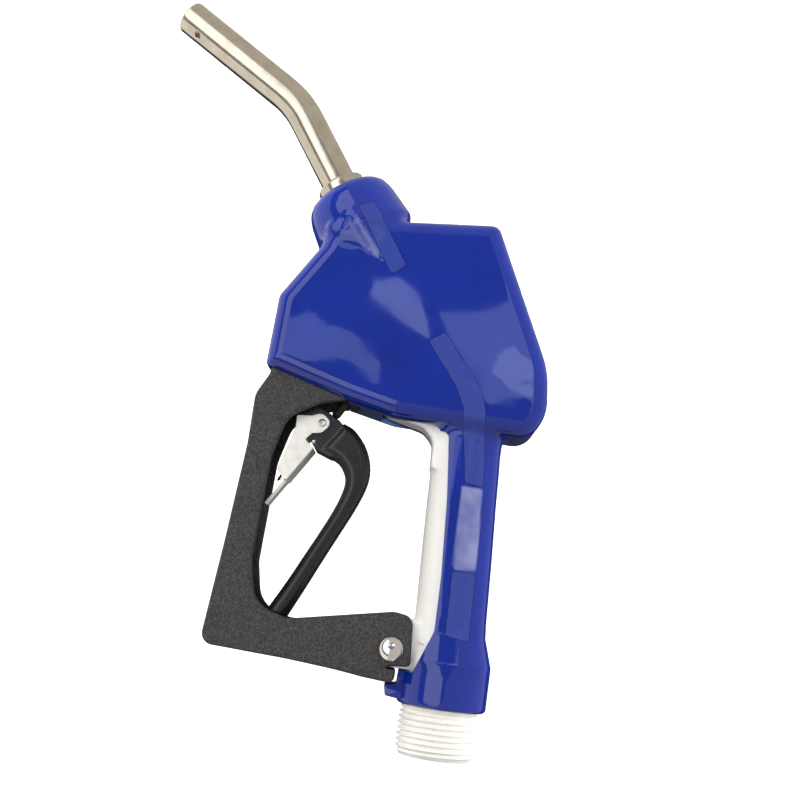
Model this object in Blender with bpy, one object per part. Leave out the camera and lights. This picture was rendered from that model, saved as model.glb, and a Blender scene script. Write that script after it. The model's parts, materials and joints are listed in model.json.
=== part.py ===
"""Automatic dispensing nozzle: valve body, dipped cover, bent spout, hand guard,
lever with hold-open latch, main valve, check valve and shut-off mechanism.

Frame: origin at the centre of the inlet's end face, +Z from the hose up into the
handle, the spout towards -X, symmetry plane y = 0.  Dimensions below are in
millimetres and are scaled to metres when the meshes are made.
"""
import math

import bmesh
import bpy
from mathutils import Matrix, Vector

MM = 0.001

# ---------------------------------------------------------------- dimensions
GAP = 0.3                     # clearance between pieces that rest on each other
SKIN = 2.0                    # thickness of the dipped cover

# inlet: 1 inch pipe thread, 11 turns per inch
THREAD_R = 16.62
THREAD_PITCH = 2.309
THREAD_DEPTH = 1.48
THREAD_LEN = 18.6
INLET_BORE_R = 11.0

# casing, seen from the side: corner x, corner z, corner radius
CASING = [
    (-71.7, 219.4, 6.0),
    (-93.1, 184.3, 6.0),
    (-93.8, 152.4, 2.6),
    (-57.0, 142.0, 30.0),
    (-36.0, 137.5, 20.0),
    (23.5, 135.7, 4.5),
    (29.3, 147.9, 11.0),
    (27.4, 167.1, 22.0),
    (-1.4, 229.2, 4.6),
    (-45.2, 225.2, 6.0),
]
CASING_Y = 20.0
# half width against inset of the outline: the rounded long edges
CASING_ROUND = [(20.0, 6.6), (18.9, 3.4), (16.2, 1.1), (12.4, 0.0)]

# spout line: its base point, its rise direction, the bend and the second straight
SPOUT_X, SPOUT_Z = -74.7, 242.0
SPOUT_TILT = math.radians(34.3)
SPOUT_BEND = math.radians(23.1)
SPOUT_R = 7.9
SPOUT_WALL = 1.0
SPOUT_STRAIGHT_1 = 37.3
SPOUT_BEND_R = 45.0
SPOUT_STRAIGHT_2 = 58.9
SPOUT_INSIDE = 16.0           # length of tube inside the collar
SENSE_HOLE_R = 1.1
SENSE_HOLE_FROM_TIP = 11.0

# valve axis
VALVE_X, VALVE_Z = -57.6, 144.0
VALVE_TILT = math.radians(29.0)
TRIP_OFFSET = -23.0           # trip stem, across from the valve axis
PIVOT_U = -12.0               # lever pin below the casing
DETENT_U = 36.0

# handle sections: z, front x, back x, half width
HANDLE = [
    (150.0, -17.5, 13.0, 14.0),
    (128.0, -17.2, 12.4, 14.2),
    (118.0, -17.0, 12.8, 14.3),
    (107.0, -16.8, 13.1, 14.3),
    (80.0, -16.0, 14.4, 14.4),
    (56.0, -15.2, 15.2, 14.6),
    (50.5, -15.2, 15.6, 14.9),
    (38.6, -18.4, 19.3, 18.7),
]
SLEEVE_R = 18.9
SLEEVE_X = 0.45
SLEEVE_Z = 20.0

RIVET_X, RIVET_Z, RIVET_R = -23.4, 41.5, 5.3
GUARD_Y = 13.5
CHEEK = 3.0

LATCH_X, LATCH_Z = -66.2, 131.7
STOP_X, STOP_Z = -68.6, 123.2

# ------------------------------------------------------------------- helpers
for old in list(bpy.data.objects):
    bpy.data.objects.remove(old, do_unlink=True)


def material(name, color, rough, metal):
    mat = bpy.data.materials.new(name)
    mat.use_nodes = True
    shader = mat.node_tree.nodes["Principled BSDF"]
    shader.inputs["Base Color"].default_value = (*color, 1.0)
    shader.inputs["Roughness"].default_value = rough
    shader.inputs["Metallic"].default_value = metal
    mat.diffuse_color = (*color, 1.0)
    return mat


BLUE = ((0.012, 0.025, 0.27), 0.22, 0.0)
WHITE = ((0.84, 0.83, 0.78), 0.42, 0.0)
STEEL = ((0.62, 0.60, 0.56), 0.28, 1.0)
BRIGHT = ((0.86, 0.86, 0.86), 0.08, 1.0)
STAMPED = ((0.80, 0.79, 0.75), 0.38, 1.0)
BLACK = ((0.035, 0.033, 0.034), 0.6, 0.0)
SATIN = ((0.03, 0.028, 0.028), 0.38, 0.0)
RUBBER = ((0.015, 0.015, 0.016), 0.75, 0.0)
BRASS = ((0.72, 0.52, 0.24), 0.32, 1.0)


def new_object(name, bm, look=None):
    bmesh.ops.remove_doubles(bm, verts=bm.verts, dist=1e-6)
    bmesh.ops.dissolve_degenerate(bm, dist=1e-7, edges=bm.edges)
    bmesh.ops.delete(bm, geom=[e for e in bm.edges if not e.link_faces], context="EDGES")
    bmesh.ops.recalc_face_normals(bm, faces=bm.faces)
    mesh = bpy.data.meshes.new(name)
    bm.to_mesh(mesh)
    bm.free()
    obj = bpy.data.objects.new(name, mesh)
    bpy.context.scene.collection.objects.link(obj)
    if look:
        mesh.materials.append(material(name, *look))
    return obj


def cut(obj, other, how="DIFFERENCE"):
    """Boolean with the exact solver; the operand is used up."""
    mod = obj.modifiers.new("bool", "BOOLEAN")
    mod.operation = how
    mod.solver = "EXACT"
    mod.object = other
    bpy.context.view_layer.update()
    graph = bpy.context.evaluated_depsgraph_get()
    mesh = bpy.data.meshes.new_from_object(obj.evaluated_get(graph))
    obj.modifiers.clear()
    looks = [m for m in obj.data.materials]
    obj.data = mesh
    mesh.materials.clear()
    for m in looks:
        mesh.materials.append(m)
    for poly in mesh.polygons:
        poly.material_index = 0
    bpy.data.objects.remove(other, do_unlink=True)
    bm = bmesh.new()
    bm.from_mesh(mesh)
    bmesh.ops.remove_doubles(bm, verts=bm.verts, dist=2e-6)
    bmesh.ops.dissolve_degenerate(bm, dist=1e-6, edges=bm.edges)
    bm.to_mesh(mesh)
    bm.free()
    return obj


def join(obj, *others):
    for other in others:
        cut(obj, other, "UNION")
    return obj


def vec(x, y, z):
    return Vector((x * MM, y * MM, z * MM))


def rings(name, rows, look=None, closed=False, capped=True):
    """Skin rows of equal length; cap the two ends, or close the rows into a loop."""
    bm = bmesh.new()
    grid = [[bm.verts.new(p) for p in row] for row in rows]
    n = len(rows[0])
    pairs = list(zip(grid[:-1], grid[1:]))
    if closed:
        pairs.append((grid[-1], grid[0]))
    for a, b in pairs:
        for i in range(n):
            j = (i + 1) % n
            bm.faces.new((a[i], a[j], b[j], b[i]))
    if capped and not closed:
        bm.faces.new(list(reversed(grid[0])))
        bm.faces.new(grid[-1])
    return new_object(name, bm, look)


def frame_of(direction):
    d = Vector(direction).normalized()
    side = Vector((0.0, 1.0, 0.0))
    if abs(d.dot(side)) > 0.9:
        side = Vector((0.0, 0.0, 1.0))
    a = d.cross(side).normalized()
    return d, a, d.cross(a).normalized()


def turned(name, profile, origin, direction, look=None, n=24, phase=0.0):
    """Closed (radius, height) loop turned about an axis.  A profile that touches
    radius 0 makes a solid; one that doesn't makes a ring."""
    d, a, b = frame_of(direction)
    o = vec(*origin)
    rows = []
    for k in range(n):
        t = 2 * math.pi * k / n + phase
        out = a * math.cos(t) + b * math.sin(t)
        rows.append([o + d * (s * MM) + out * (max(r, 0.0) * MM) for r, s in profile])
    return rings(name, rows, look, closed=True)


def rod(name, r, s0, s1, origin, direction, look=None, n=20, phase=0.0):
    return turned(name, [(0, s0), (r, s0), (r, s1), (0, s1)], origin, direction, look, n, phase)


def tube(name, r0, r1, s0, s1, origin, direction, look=None, n=24):
    return turned(name, [(r0, s0), (r1, s0), (r1, s1), (r0, s1)], origin, direction, look, n)


def ring_seal(name, major, minor, s, origin, direction, n=24, m=8):
    loop = [(major + minor * math.cos(2 * math.pi * i / m), s + minor * math.sin(2 * math.pi * i / m)) for i in range(m)]
    return turned(name, loop, origin, direction, RUBBER, n)


def outline(corners, inset=0.0, steps=3):
    """Rounded polygon from corner points; inset moves every side inwards."""
    n = len(corners)
    pts = [Vector((c[0], c[1])) for c in corners]
    area = sum(pts[i].x * pts[(i + 1) % n].y - pts[(i + 1) % n].x * pts[i].y for i in range(n))
    turn = 1.0 if area > 0 else -1.0
    lines = []
    for i in range(n):
        p, q = pts[i], pts[(i + 1) % n]
        d = (q - p).normalized()
        inward = Vector((-d.y, d.x)) * turn
        lines.append((p + inward * inset, d))
    moved = []
    for i in range(n):
        (p, d), (q, e) = lines[i - 1], lines[i]
        cross = d.x * e.y - d.y * e.x
        t = ((q.x - p.x) * e.y - (q.y - p.y) * e.x) / cross
        moved.append(p + d * t)
    out = []
    for i in range(n):
        c = moved[i]
        before = (moved[i - 1] - c).normalized()
        after = (moved[(i + 1) % n] - c).normalized()
        half = before.angle(after) / 2.0
        convex = (before.x * after.y - before.y * after.x) * turn < 0
        r = corners[i][2] + (-inset if convex else inset)
        r = max(r, 0.35)
        reach = r / math.tan(half)
        reach = min(reach, 0.47 * (moved[i - 1] - c).length, 0.47 * (moved[(i + 1) % n] - c).length)
        r = reach * math.tan(half)
        start, end = c + before * reach, c + after * reach
        centre = c + (before + after).normalized() * (r / math.sin(half))
        va, vb = start - centre, end - centre
        sweep = va.angle(vb)
        sign = 1.0 if va.x * vb.y - va.y * vb.x > 0 else -1.0
        for k in range(steps + 1):
            a = sign * sweep * k / steps
            out.append(centre + Vector((va.x * math.cos(a) - va.y * math.sin(a), va.x * math.sin(a) + va.y * math.cos(a))))
    return out


def slab(name, corners, layers, look=None, steps=3):
    """Outline in the xz plane built up over y; layers are (y, inset)."""
    rows = []
    for y, inset in layers:
        rows.append([vec(p.x, y, p.y) for p in outline(corners, inset, steps)])
    return rings(name, rows, look)


def plate(name, corners, y0, y1, look=None, steps=3):
    return slab(name, corners, [(y0, 0.0), (y1, 0.0)], look, steps)


def both_sides(half, edge=0.0):
    """Layers of a plate centred on y = 0 with its long edges eased."""
    if edge <= 0:
        return [(-half, 0.0), (half, 0.0)]
    return [(-half, edge), (-half + edge, 0.0), (half - edge, 0.0), (half, edge)]


def swept(name, path, r, look=None, n=16, r_in=None):
    """Round bar or tube along points; r_in makes it a tube with open ends."""
    pts = [Vector(p) for p in path]
    outer, inner = [], []
    last = None
    for i, p in enumerate(pts):
        if i == 0:
            d = pts[1] - pts[0]
        elif i == len(pts) - 1:
            d = pts[-1] - pts[-2]
        else:
            d = (pts[i + 1] - p).normalized() + (p - pts[i - 1]).normalized()
        d = d.normalized()
        if last is None:
            a = d.cross(Vector((0, 1, 0)))
            if a.length < 1e-4:
                a = d.cross(Vector((1, 0, 0)))
            a.normalize()
        else:
            a = (last - d * last.dot(d)).normalized()
        last = a
        b = d.cross(a).normalized()
        for ring, rr in ((outer, r), (inner, r_in)):
            if rr is not None:
                ring.append([p + (a * math.cos(2 * math.pi * k / n) + b * math.sin(2 * math.pi * k / n)) * (rr * MM) for k in range(n)])
    if r_in is None:
        return rings(name, outer, look)
    return rings(name, outer + inner[::-1], look, closed=True)


def coil(name, radius, wire, s0, s1, turns, origin, direction, look=STEEL, per_turn=8, sides=4):
    d, a, b = frame_of(direction)
    o = vec(*origin)
    count = int(turns * per_turn)
    path = []
    for k in range(count + 1):
        t = 2 * math.pi * k / per_turn
        s = s0 + wire + (s1 - s0 - 2 * wire) * k / count
        path.append(o + d * (s * MM) + (a * math.cos(t) + b * math.sin(t)) * (radius * MM))
    return swept(name, path, wire, look, sides)


# axes of the mechanism
U = (math.sin(VALVE_TILT), 0.0, math.cos(VALVE_TILT))
V = (math.cos(VALVE_TILT), 0.0, -math.sin(VALVE_TILT))
S = (-math.sin(SPOUT_TILT), 0.0, math.cos(SPOUT_TILT))
SPOUT = (SPOUT_X, 0.0, SPOUT_Z)
VALVE = (VALVE_X, 0.0, VALVE_Z)
TRIP = (VALVE_X + TRIP_OFFSET * V[0], 0.0, VALVE_Z + TRIP_OFFSET * V[2])
DETENT = (TRIP[0] + DETENT_U * U[0], 0.0, TRIP[2] + DETENT_U * U[2])
LEFT = (-V[0], 0.0, -V[2])
PIVOT = (TRIP[0] + PIVOT_U * U[0], 0.0, TRIP[2] + PIVOT_U * U[2])


def at(v, u):
    """Side-view point from its place across and along the valve axis."""
    return (VALVE_X + v * V[0] + u * U[0], VALVE_Z + v * V[2] + u * U[2])


def under(x, inside):
    """Height of the casing's underside at x, moved inside the form."""
    (x0, z0, _), (x1, z1, _) = CASING[2], CASING[3]
    slope = (z1 - z0) / (x1 - x0)
    return z0 + (x - x0) * slope + inside * math.hypot(1.0, slope)


# ---------------------------------------------------- outer form, three sizes
def oval(z, x0, x1, half, n=16, power=2.7):
    cx, a = (x0 + x1) / 2, (x1 - x0) / 2
    row = []
    for k in range(n):
        t = 2 * math.pi * k / n
        c, s = math.cos(t), math.sin(t)
        row.append(vec(cx + a * math.copysign(abs(c) ** (2 / power), c), half * math.copysign(abs(s) ** (2 / power), s), z))
    return row


def form(name, off, front, look=None, extend=0.0):
    """The nozzle's main form, shrunk by off; front moves the handle's bare front
    face, and extend lets the sleeve run past its rim."""
    layers = [(-y + off, d + off) for y, d in CASING_ROUND]
    layers += [(y - off, d + off) for y, d in reversed(CASING_ROUND)]
    obj = slab(name, CASING, layers, look, 2)
    collar = turned(name + "_collar", [
        (0, -3.0 - off), (12.6, -3.0 - off), (16.4 - 0.8 * off, -4.2 - off), (18.6 - off, -7.2 - off * 0.6), (20.6 - off, -11.0),
        (22.4 - off, -26.0), (17.0 - off, -36.0), (0, -46.0)], SPOUT, S, None, 20)
    rows = []
    for i, (z, x0, x1, half) in enumerate(HANDLE):
        bare = x0 + front if z > 45 else x0 + off
        rows.append(oval(z, bare, x1 - off, half - off))
    rows.append(oval(34.0, SLEEVE_X - SLEEVE_R + off, SLEEVE_X + SLEEVE_R - off, SLEEVE_R - off, power=2.0))
    low = SLEEVE_Z + (GAP if off > SKIN else 0.0)
    if extend:
        rows.append(oval(low - extend, SLEEVE_X - SLEEVE_R + off, SLEEVE_X + SLEEVE_R - off, SLEEVE_R - off, power=2.0))
    else:
        rows.append(oval(low + 1.6, SLEEVE_X - SLEEVE_R + off, SLEEVE_X + SLEEVE_R - off, SLEEVE_R - off, power=2.0))
        rows.append(oval(low, SLEEVE_X - SLEEVE_R + off + 1.2, SLEEVE_X + SLEEVE_R - off - 1.2, SLEEVE_R - off - 1.2, power=2.0))
    handle = rings(name + "_handle", rows)
    return join(obj, collar, handle)


LUG = [(-8.0, 33.9, 2.0), (-8.0, 53.4, 2.0), (-15.0, 54.4, 4.0), (-28.0, 54.2, 7.0), (-34.0, 46.0, 7.0), (-33.0, 33.9, 2.0)]
FILLET = [(-12.0, 118.0, 1.0), (-17.2, 118.5, 1.0), (-17.6, 130.5, 9.0), (-22.5, 135.4, 6.0), (-39.5, 139.4, 3.0), (-39.0, 148.0, 2.0), (-8.0, 150.0, 2.0)]

# ------------------------------------------------------------------ the body
body = form("valve_body", SKIN + GAP, 0.0, WHITE)
join(body, plate("fillet", FILLET, -9.6, 9.6))
join(body, slab("lug", LUG, both_sides(9.8, 1.2)))
# handle bore, inlet socket, passage to the upper chamber
cut(body, rod("socket", 13.3, 10, 40.0, (0, 0, 0), (0, 0, 1), n=18))
cut(body, turned("bore", [(0, 30), (9.0, 30), (9.0, 128), (0, 134)], (0, 0, 0), (-0.02, 0, 1), None, 14))
a, b = Vector((-2.2, 0, 124.0)), Vector((-28.0, 0, 186.0))
cut(body, rod("passage", 7.2, -4.0, (b - a).length, tuple(a), tuple(b - a), n=12))
# valve chambers: packing bore, lower chamber, upper chamber, cap seat
cut(body, turned("chamber", [(0, -14), (7.0, -14), (7.0, 0.6), (5.4, 0.6), (5.4, 9.5), (9.0, 12.0), (9.0, 31.0), (12.0, 31.0), (12.0, 68.0), (15.3, 68.0), (15.3, 116), (0, 116)], VALVE, U, None, 16))
# outlet ways past the shut-off mechanism, then the collar bore
for side in (-1, 1):
    p, q = at(-8.0, 18.0), at(-26.0, 58.0)
    start = Vector((p[0], side * 11.5, p[1]))
    run = Vector((q[0] - p[0], 0, q[1] - p[1]))
    cut(body, rod("way", 3.8, 0.0, run.length, tuple(start), tuple(run), n=8))
    p = at(0.0, 20.0)
    cut(body, rod("cross", 3.4, 0.0, 13.0, (p[0] - 6.0, 0.0, p[1]), (-0.12, side, 0.0), n=8))
cut(body, turned("collar_bore", [(0, 6), (13.3, 6), (13.3, -42.0), (0, -46.0)], SPOUT, S, None, 20))
# trip stem bore and the detent chamber
cut(body, turned("trip_bore", [(0, -20), (5.9, -20), (5.9, 24.0), (4.0, 25.5), (4.0, 45.5), (0, 47.0)], TRIP, U, None, 14))
cut(body, turned("detent_bore", [(0, 0), (2.6, 0), (2.6, 10.5), (10.7, 10.5), (10.7, 45.0), (0, 45.0)], DETENT, LEFT, None, 16))
# rivet hole, and the slot that the guard's tongue hooks into
cut(body, rod("rivet_hole", 4.3, -30, 30, (RIVET_X, 0, RIVET_Z), (0, 1, 0), n=16))
cut(body, plate("tongue_slot", [(-90.9, 145.0, 0.4), (-87.4, 145.0, 0.4), (-87.4, 159.3, 0.6), (-90.9, 159.3, 0.6)], -6.3, 6.3, None, 1))

# ----------------------------------------------------------------- the cover
cover = form("cover", 0.0, 0.3, BLUE)
TAB = [(-19.2, 33.4, 0.6), (-19.4, 27.6, 0.8), (-24.4, 27.2, 0.8), (-23.4, 22.4, 1.0), (-10.0, 20.8, 0.6), (-8.0, 33.4, 0.6)]
join(cover, plate("tab", TAB, -8.5, 8.5, None, 2))
hollow = form("hollow", SKIN, -GAP, None, 8.0)
cut(cover, hollow)
# along the handle's front, so that the white body shows
FRONT = [(-45.0, 112.0, 1.0), (-45.0, 33.2, 1.0), (-13.4, 33.2, 1.0), (-11.4, 38.5, 4.0), (-6.6, 51.0, 6.0), (-6.8, 74.0, 30.0), (-8.6, 106.0, 30.0), (-10.4, 124.0, 20.0), (-11.6, 134.6, 3.0), (-34.5, 135.9, 3.0)]
cut(cover, plate("front_cut", FRONT, -30, 30))
# slit under the casing that the handle's fillet fills
cut(cover, plate("fillet_cut", [(-41.5, 125.0, 1.0), (-12.5, 125.0, 1.0), (-12.5, 145.0, 1.0), (-41.5, 145.0, 1.0)], -9.9, 9.9))
# mouth for the guard's arm and the lever head, and the valve stem
cut(cover, plate("arm_cut", [(-91.9, 130.0, 1.0), (-56.2, 130.0, 1.0), (-56.2, under(-56.2, 2.6), 1.0), (-91.9, under(-91.9, 2.6), 1.0)], -GUARD_Y - 0.4, GUARD_Y + 0.4))
cut(cover, rod("stem_cut", 8.6, -12.0, 6.0, VALVE, U, n=16))
cut(cover, rod("spout_cut", 11.3, -8.0, 6.0, SPOUT, S, n=20))

# -------------------------------------------------------------------- inlet
def helix_stub(name, look):
    """Threaded stub whose outer skin is a height field over angle and height."""
    n, per = 18, 3
    low, high = 0.9, THREAD_LEN - 0.7
    root = THREAD_R - THREAD_DEPTH
    count = int(round((high - low) / THREAD_PITCH * per))
    rows = []

    def ring(r, z):
        return [vec(r * math.cos(2 * math.pi * k / n), r * math.sin(2 * math.pi * k / n), z) for k in range(n)]

    rows += [ring(INLET_BORE_R, 35.0), ring(INLET_BORE_R, 1.0), ring(INLET_BORE_R + 1.0, 0.0), ring(root - 0.4, 0.0), ring(root, low)]
    for i in range(1, count):
        row = []
        for k in range(n):
            z = low + (high - low) * i / count
            phase = ((z - low) / THREAD_PITCH - k / n) % 1.0
            lift = 1.0 - abs(2.0 * phase - 1.0)
            lift = min(1.0, max(0.0, (lift - 0.1) / 0.8))
            fade = min(1.0, (z - low) / 1.2, (high - z) / 0.9)
            r = root + THREAD_DEPTH * lift * fade
            t = 2 * math.pi * k / n
            row.append(vec(r * math.cos(t), r * math.sin(t), z))
        rows.append(row)
    rows += [ring(root, high), ring(root, THREAD_LEN), ring(16.0, THREAD_LEN), ring(16.0, SLEEVE_Z), ring(13.0, SLEEVE_Z), ring(13.0, 35.0)]
    return rings(name, rows, look, closed=True)


helix_stub("inlet_adapter", WHITE)
ring_seal("inlet_seal", 12.05, 0.9, 36.1, (0, 0, 0), (0, 0, 1), 18, 5)
turned("inlet_strainer", [(6.4, 39.8), (10.6, 36.4), (7.4, 40.4), (7.2, 56.0), (0, 58.0), (0, 57.0), (6.4, 55.2)], (0, 0, 0), (0, 0, 1), STEEL, 14)

# -------------------------------------------------------------------- spout
def spout_path(inside, offset=0.0, shorter=0.0, steps=5):
    """Centre line from inside the collar to the tip; offset is towards its inner side."""
    up = Vector((S[0], 0, S[2]))
    inner = Vector((-up.z, 0, up.x))
    reach = SPOUT_BEND_R * math.tan(SPOUT_BEND / 2)
    base = Vector(SPOUT)
    bend_start = base + up * SPOUT_STRAIGHT_1
    centre = bend_start + inner * SPOUT_BEND_R
    r = SPOUT_BEND_R - offset
    pts = [base - up * inside + inner * offset, base + inner * offset]
    for k in range(steps + 1):
        t = SPOUT_BEND * k / steps
        pts.append(centre - inner * (r * math.cos(t)) + up * (r * math.sin(t)))
    last = up * math.cos(SPOUT_BEND) + inner * math.sin(SPOUT_BEND)
    pts.append(pts[-1] + last * (SPOUT_STRAIGHT_2 - shorter))
    return [p * MM for p in pts], last, inner * math.cos(SPOUT_BEND) - up * math.sin(SPOUT_BEND)


path, TIP_DIR, TIP_IN = spout_path(SPOUT_INSIDE)
TIP = path[-1] / MM
spout = swept("spout_tube", path, SPOUT_R, STEEL, 20, SPOUT_R - SPOUT_WALL)
hole_at = TIP - TIP_DIR * SENSE_HOLE_FROM_TIP
hole_dir = TIP_IN * 0.8 + Vector((0, -0.6, 0))
cut(spout, rod("sense_hole", SENSE_HOLE_R, 4.5, 12.0, tuple(hole_at), tuple(hole_dir), n=12))
turned("spout_flange", [(8.2, -5.3), (10.8, -5.3), (10.8, -0.7), (10.2, 0.0), (8.2, 0.0)], SPOUT, S, STEEL, 20)
turned("spout_adapter", [(8.2, -5.6), (13.0, -5.6), (13.0, -22.0), (5.4, -22.0), (5.4, -17.0), (8.2, -17.0)], SPOUT, S, BRASS, 20)
tube_path, _, _ = spout_path(12.0, 4.6, 8.5, 4)
swept("sensing_tube", tube_path, 1.6, STEEL, 8, 0.9)
ring_seal("spout_seal", 11.9, 0.9, -23.4, SPOUT, S, 20, 5)
turned("check_seat", [(6.2, -38.6), (12.9, -38.6), (12.9, -34.6), (8.8, -34.6)], SPOUT, S, BRASS, 20)
turned("check_poppet", [(0, -36.6), (6.0, -36.6), (8.6, -34.2), (8.6, -32.6), (2.2, -32.6), (2.2, -24.5), (0, -24.5)], SPOUT, S, WHITE, 16)
coil("check_spring", 6.6, 0.45, -32.3, -22.3, 4, SPOUT, S)

# --------------------------------------------------------------- main valve
turned("packing_nut", [(2.4, -1.2), (6.6, -1.2), (6.6, 0.3), (5.1, 0.3), (5.1, 9.0), (2.4, 9.0)], VALVE, U, BRASS, 16)
turned("valve_stem", [(0, -9.2), (1.2, -9.0), (2.0, -8.2), (2.0, 46.0), (0, 46.0)], VALVE, U, STEEL, 16)
turned("seat_ring", [(7.4, 31.4), (11.7, 31.4), (11.7, 34.2), (7.4, 34.2)], VALVE, U, BRASS, 16)
turned("poppet_seal", [(2.4, 34.5), (9.4, 34.5), (9.4, 36.8), (2.4, 36.8)], VALVE, U, RUBBER, 16)
turned("valve_poppet", [(2.4, 37.1), (10.4, 37.1), (10.4, 40.0), (5.0, 40.0), (4.4, 45.0), (2.4, 45.0)], VALVE, U, WHITE, 16)
coil("main_spring", 7.4, 0.7, 40.4, 78.0, 6, VALVE, U)
cap = turned("valve_cap", [(0, 78.4), (9.2, 78.4), (9.2, 70.7), (15.0, 70.7), (15.0, 82.4), (14.4, 83.0), (0, 83.0)], VALVE, U, WHITE, 16)
cut(cap, rod("cap_socket", 5.0, 81.0, 90.0, VALVE, U, n=6))
ring_seal("cap_seal", 13.6, 1.1, 69.35, VALVE, U, 16, 5)

# -------------------------------------------------- shut-off (trip) mechanism
DROP = 3.6                    # how far the trip stem falls when it lets go
NOTCH = 0.5 * DROP
stem = turned("trip_stem", [(0, -16.2), (2.8, -16.2), (3.6, -15.4), (3.6, 18.0), (5.5, 18.0), (5.5, 20.0), (3.6, 20.0),
                            (3.6, DETENT_U - DROP), (3.6 - NOTCH, DETENT_U), (3.6, DETENT_U + DROP), (3.6, 43.4), (3.0, 44.0), (0, 44.0)], TRIP, U, STEEL, 14)
cut(stem, rod("pin_hole", 2.1, -10, 10, PIVOT, (0, 1, 0), n=12))
turned("trip_bushing", [(3.9, 0.6), (5.6, 0.6), (5.6, 5.0), (3.9, 5.0)], TRIP, U, BRASS, 14)
coil("trip_spring", 4.65, 0.5, 5.3, 17.7, 4, TRIP, U)
TIP_T = 3.6 - NOTCH + GAP
turned("detent_pin", [(0, TIP_T), (2.2, TIP_T + 1.1), (2.2, 11.1), (4.4, 11.1), (4.4, 12.5), (0, 12.5)], DETENT, LEFT, STEEL, 16)
turned("diaphragm", [(0, 12.8), (10.3, 12.8), (10.3, 13.8), (0, 13.8)], DETENT, LEFT, RUBBER, 16)
coil("diaphragm_spring", 3.8, 0.4, 14.1, 20.4, 3, DETENT, LEFT)
cut(turned("diaphragm_cap", [(0, 20.7), (5.2, 20.7), (5.2, 16.4), (10.4, 16.4), (10.4, 23.4), (0, 23.4)], DETENT, LEFT, WHITE, 16),
    rod("cap_slot", 2.8, 22.2, 33.0, DETENT, LEFT, n=6))

# ---------------------------------------------------------------- hand guard
GUARD = [
    (-90.8, under(-90.8, 2.0), 0.8), (-56.6, under(-56.6, 2.0), 0.8), (-56.8, 142.0, 0.6), (-67.0, 139.6, 8.0), (-80.6, 132.0, 12.0), (-85.0, 114.0, 20.0),
    (-86.2, 70.0, 14.0), (-82.5, 52.0, 12.0), (-68.0, 47.6, 12.0), (-24.0, 56.6, 9.0), (-15.9, 55.4, 4.5),
    (-14.5, 35.2, 1.8), (-22.0, 34.6, 3.0), (-36.0, 29.3, 4.0), (-65.3, 31.4, 20.0), (-102.3, 32.9, 5.0), (-98.9, 76.0, 60.0),
    (-96.2, 118.0, 40.0), (-96.4, 139.6, 10.0), (-91.8, 148.8, 6.0),
]
guard = slab("hand_guard", GUARD, both_sides(GUARD_Y, 1.4), BLACK, 2)
# web below the lug, ending in a round
WEB = [(-34.0, 28.6, 3.0), (-23.0, 27.8, 3.0), (-20.4, 29.0, 1.6), (-20.2, 33.2, 1.6), (-36.0, 34.0, 1.0), (-52.0, 34.0, 1.0), (-52.0, 31.0, 1.0)]
join(guard, slab("web_end", WEB, both_sides(GUARD_Y - 0.6, 0.8), None, 2))
# tongue at the top, hooked into the casing
join(guard, plate("tongue", [(-90.6, 148.0, 0.3), (-87.7, 148.0, 0.3), (-87.7, 159.0, 0.8), (-90.6, 159.0, 0.8)], -6.0, 6.0, None, 1))
# channel, open towards the hand
CHANNEL = [
    (-60.0, 100.0, 1.0), (-60.0, 170.0, 1.0), (-86.6, 170.0, 0.4), (-86.6, 149.6, 0.4), (-89.6, 149.4, 0.8), (-92.7, 140.0, 8.0), (-92.3, 118.0, 30.0),
    (-94.0, 76.0, 40.0), (-96.8, 37.6, 3.0), (-65.0, 35.8, 20.0), (-38.0, 32.9, 6.0), (-12.0, 31.6, 1.0), (-10.0, 62.0, 1.0), (-40.0, 62.0, 1.0),
]
cut(guard, plate("channel", CHANNEL, -GUARD_Y + CHEEK, GUARD_Y - CHEEK, None, 2))
cut(guard, plate("end_slot", [(-62.0, 120.0, 1.0), (-50.0, 120.0, 1.0), (-50.0, 170.0, 1.0), (-62.0, 170.0, 1.0)], -GUARD_Y + CHEEK, GUARD_Y - CHEEK, None, 1))
cut(guard, rod("rivet_hole", 4.3, -30, 30, (RIVET_X, 0, RIVET_Z), (0, 1, 0), n=16))
turned("guard_rivet", [(0, -17.0), (2.6, -16.5), (4.4, -15.3), (RIVET_R, -13.8), (4.0, -13.8), (4.0, 13.8), (RIVET_R, 13.8), (4.4, 15.3), (2.6, 16.5), (0, 17.0)],
       (RIVET_X, 0, RIVET_Z), (0, 1, 0), BRIGHT, 16)
RACK = [(-93.1, 84.0, 0.3), (-92.3, 110.0, 0.3), (-91.4, 110.0, 0.3)]
teeth = []
for k in range(5):
    z = 107.5 - 4.6 * k
    teeth += [(-91.3, z + 1.6, 0.2), (-91.0, z, 0.2), (-91.6, z - 0.2, 0.2)]
RACK += teeth + [(-91.6, 84.0, 0.3)]
plate("latch_rack", RACK, -6.0, 6.0, STEEL, 1)

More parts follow.
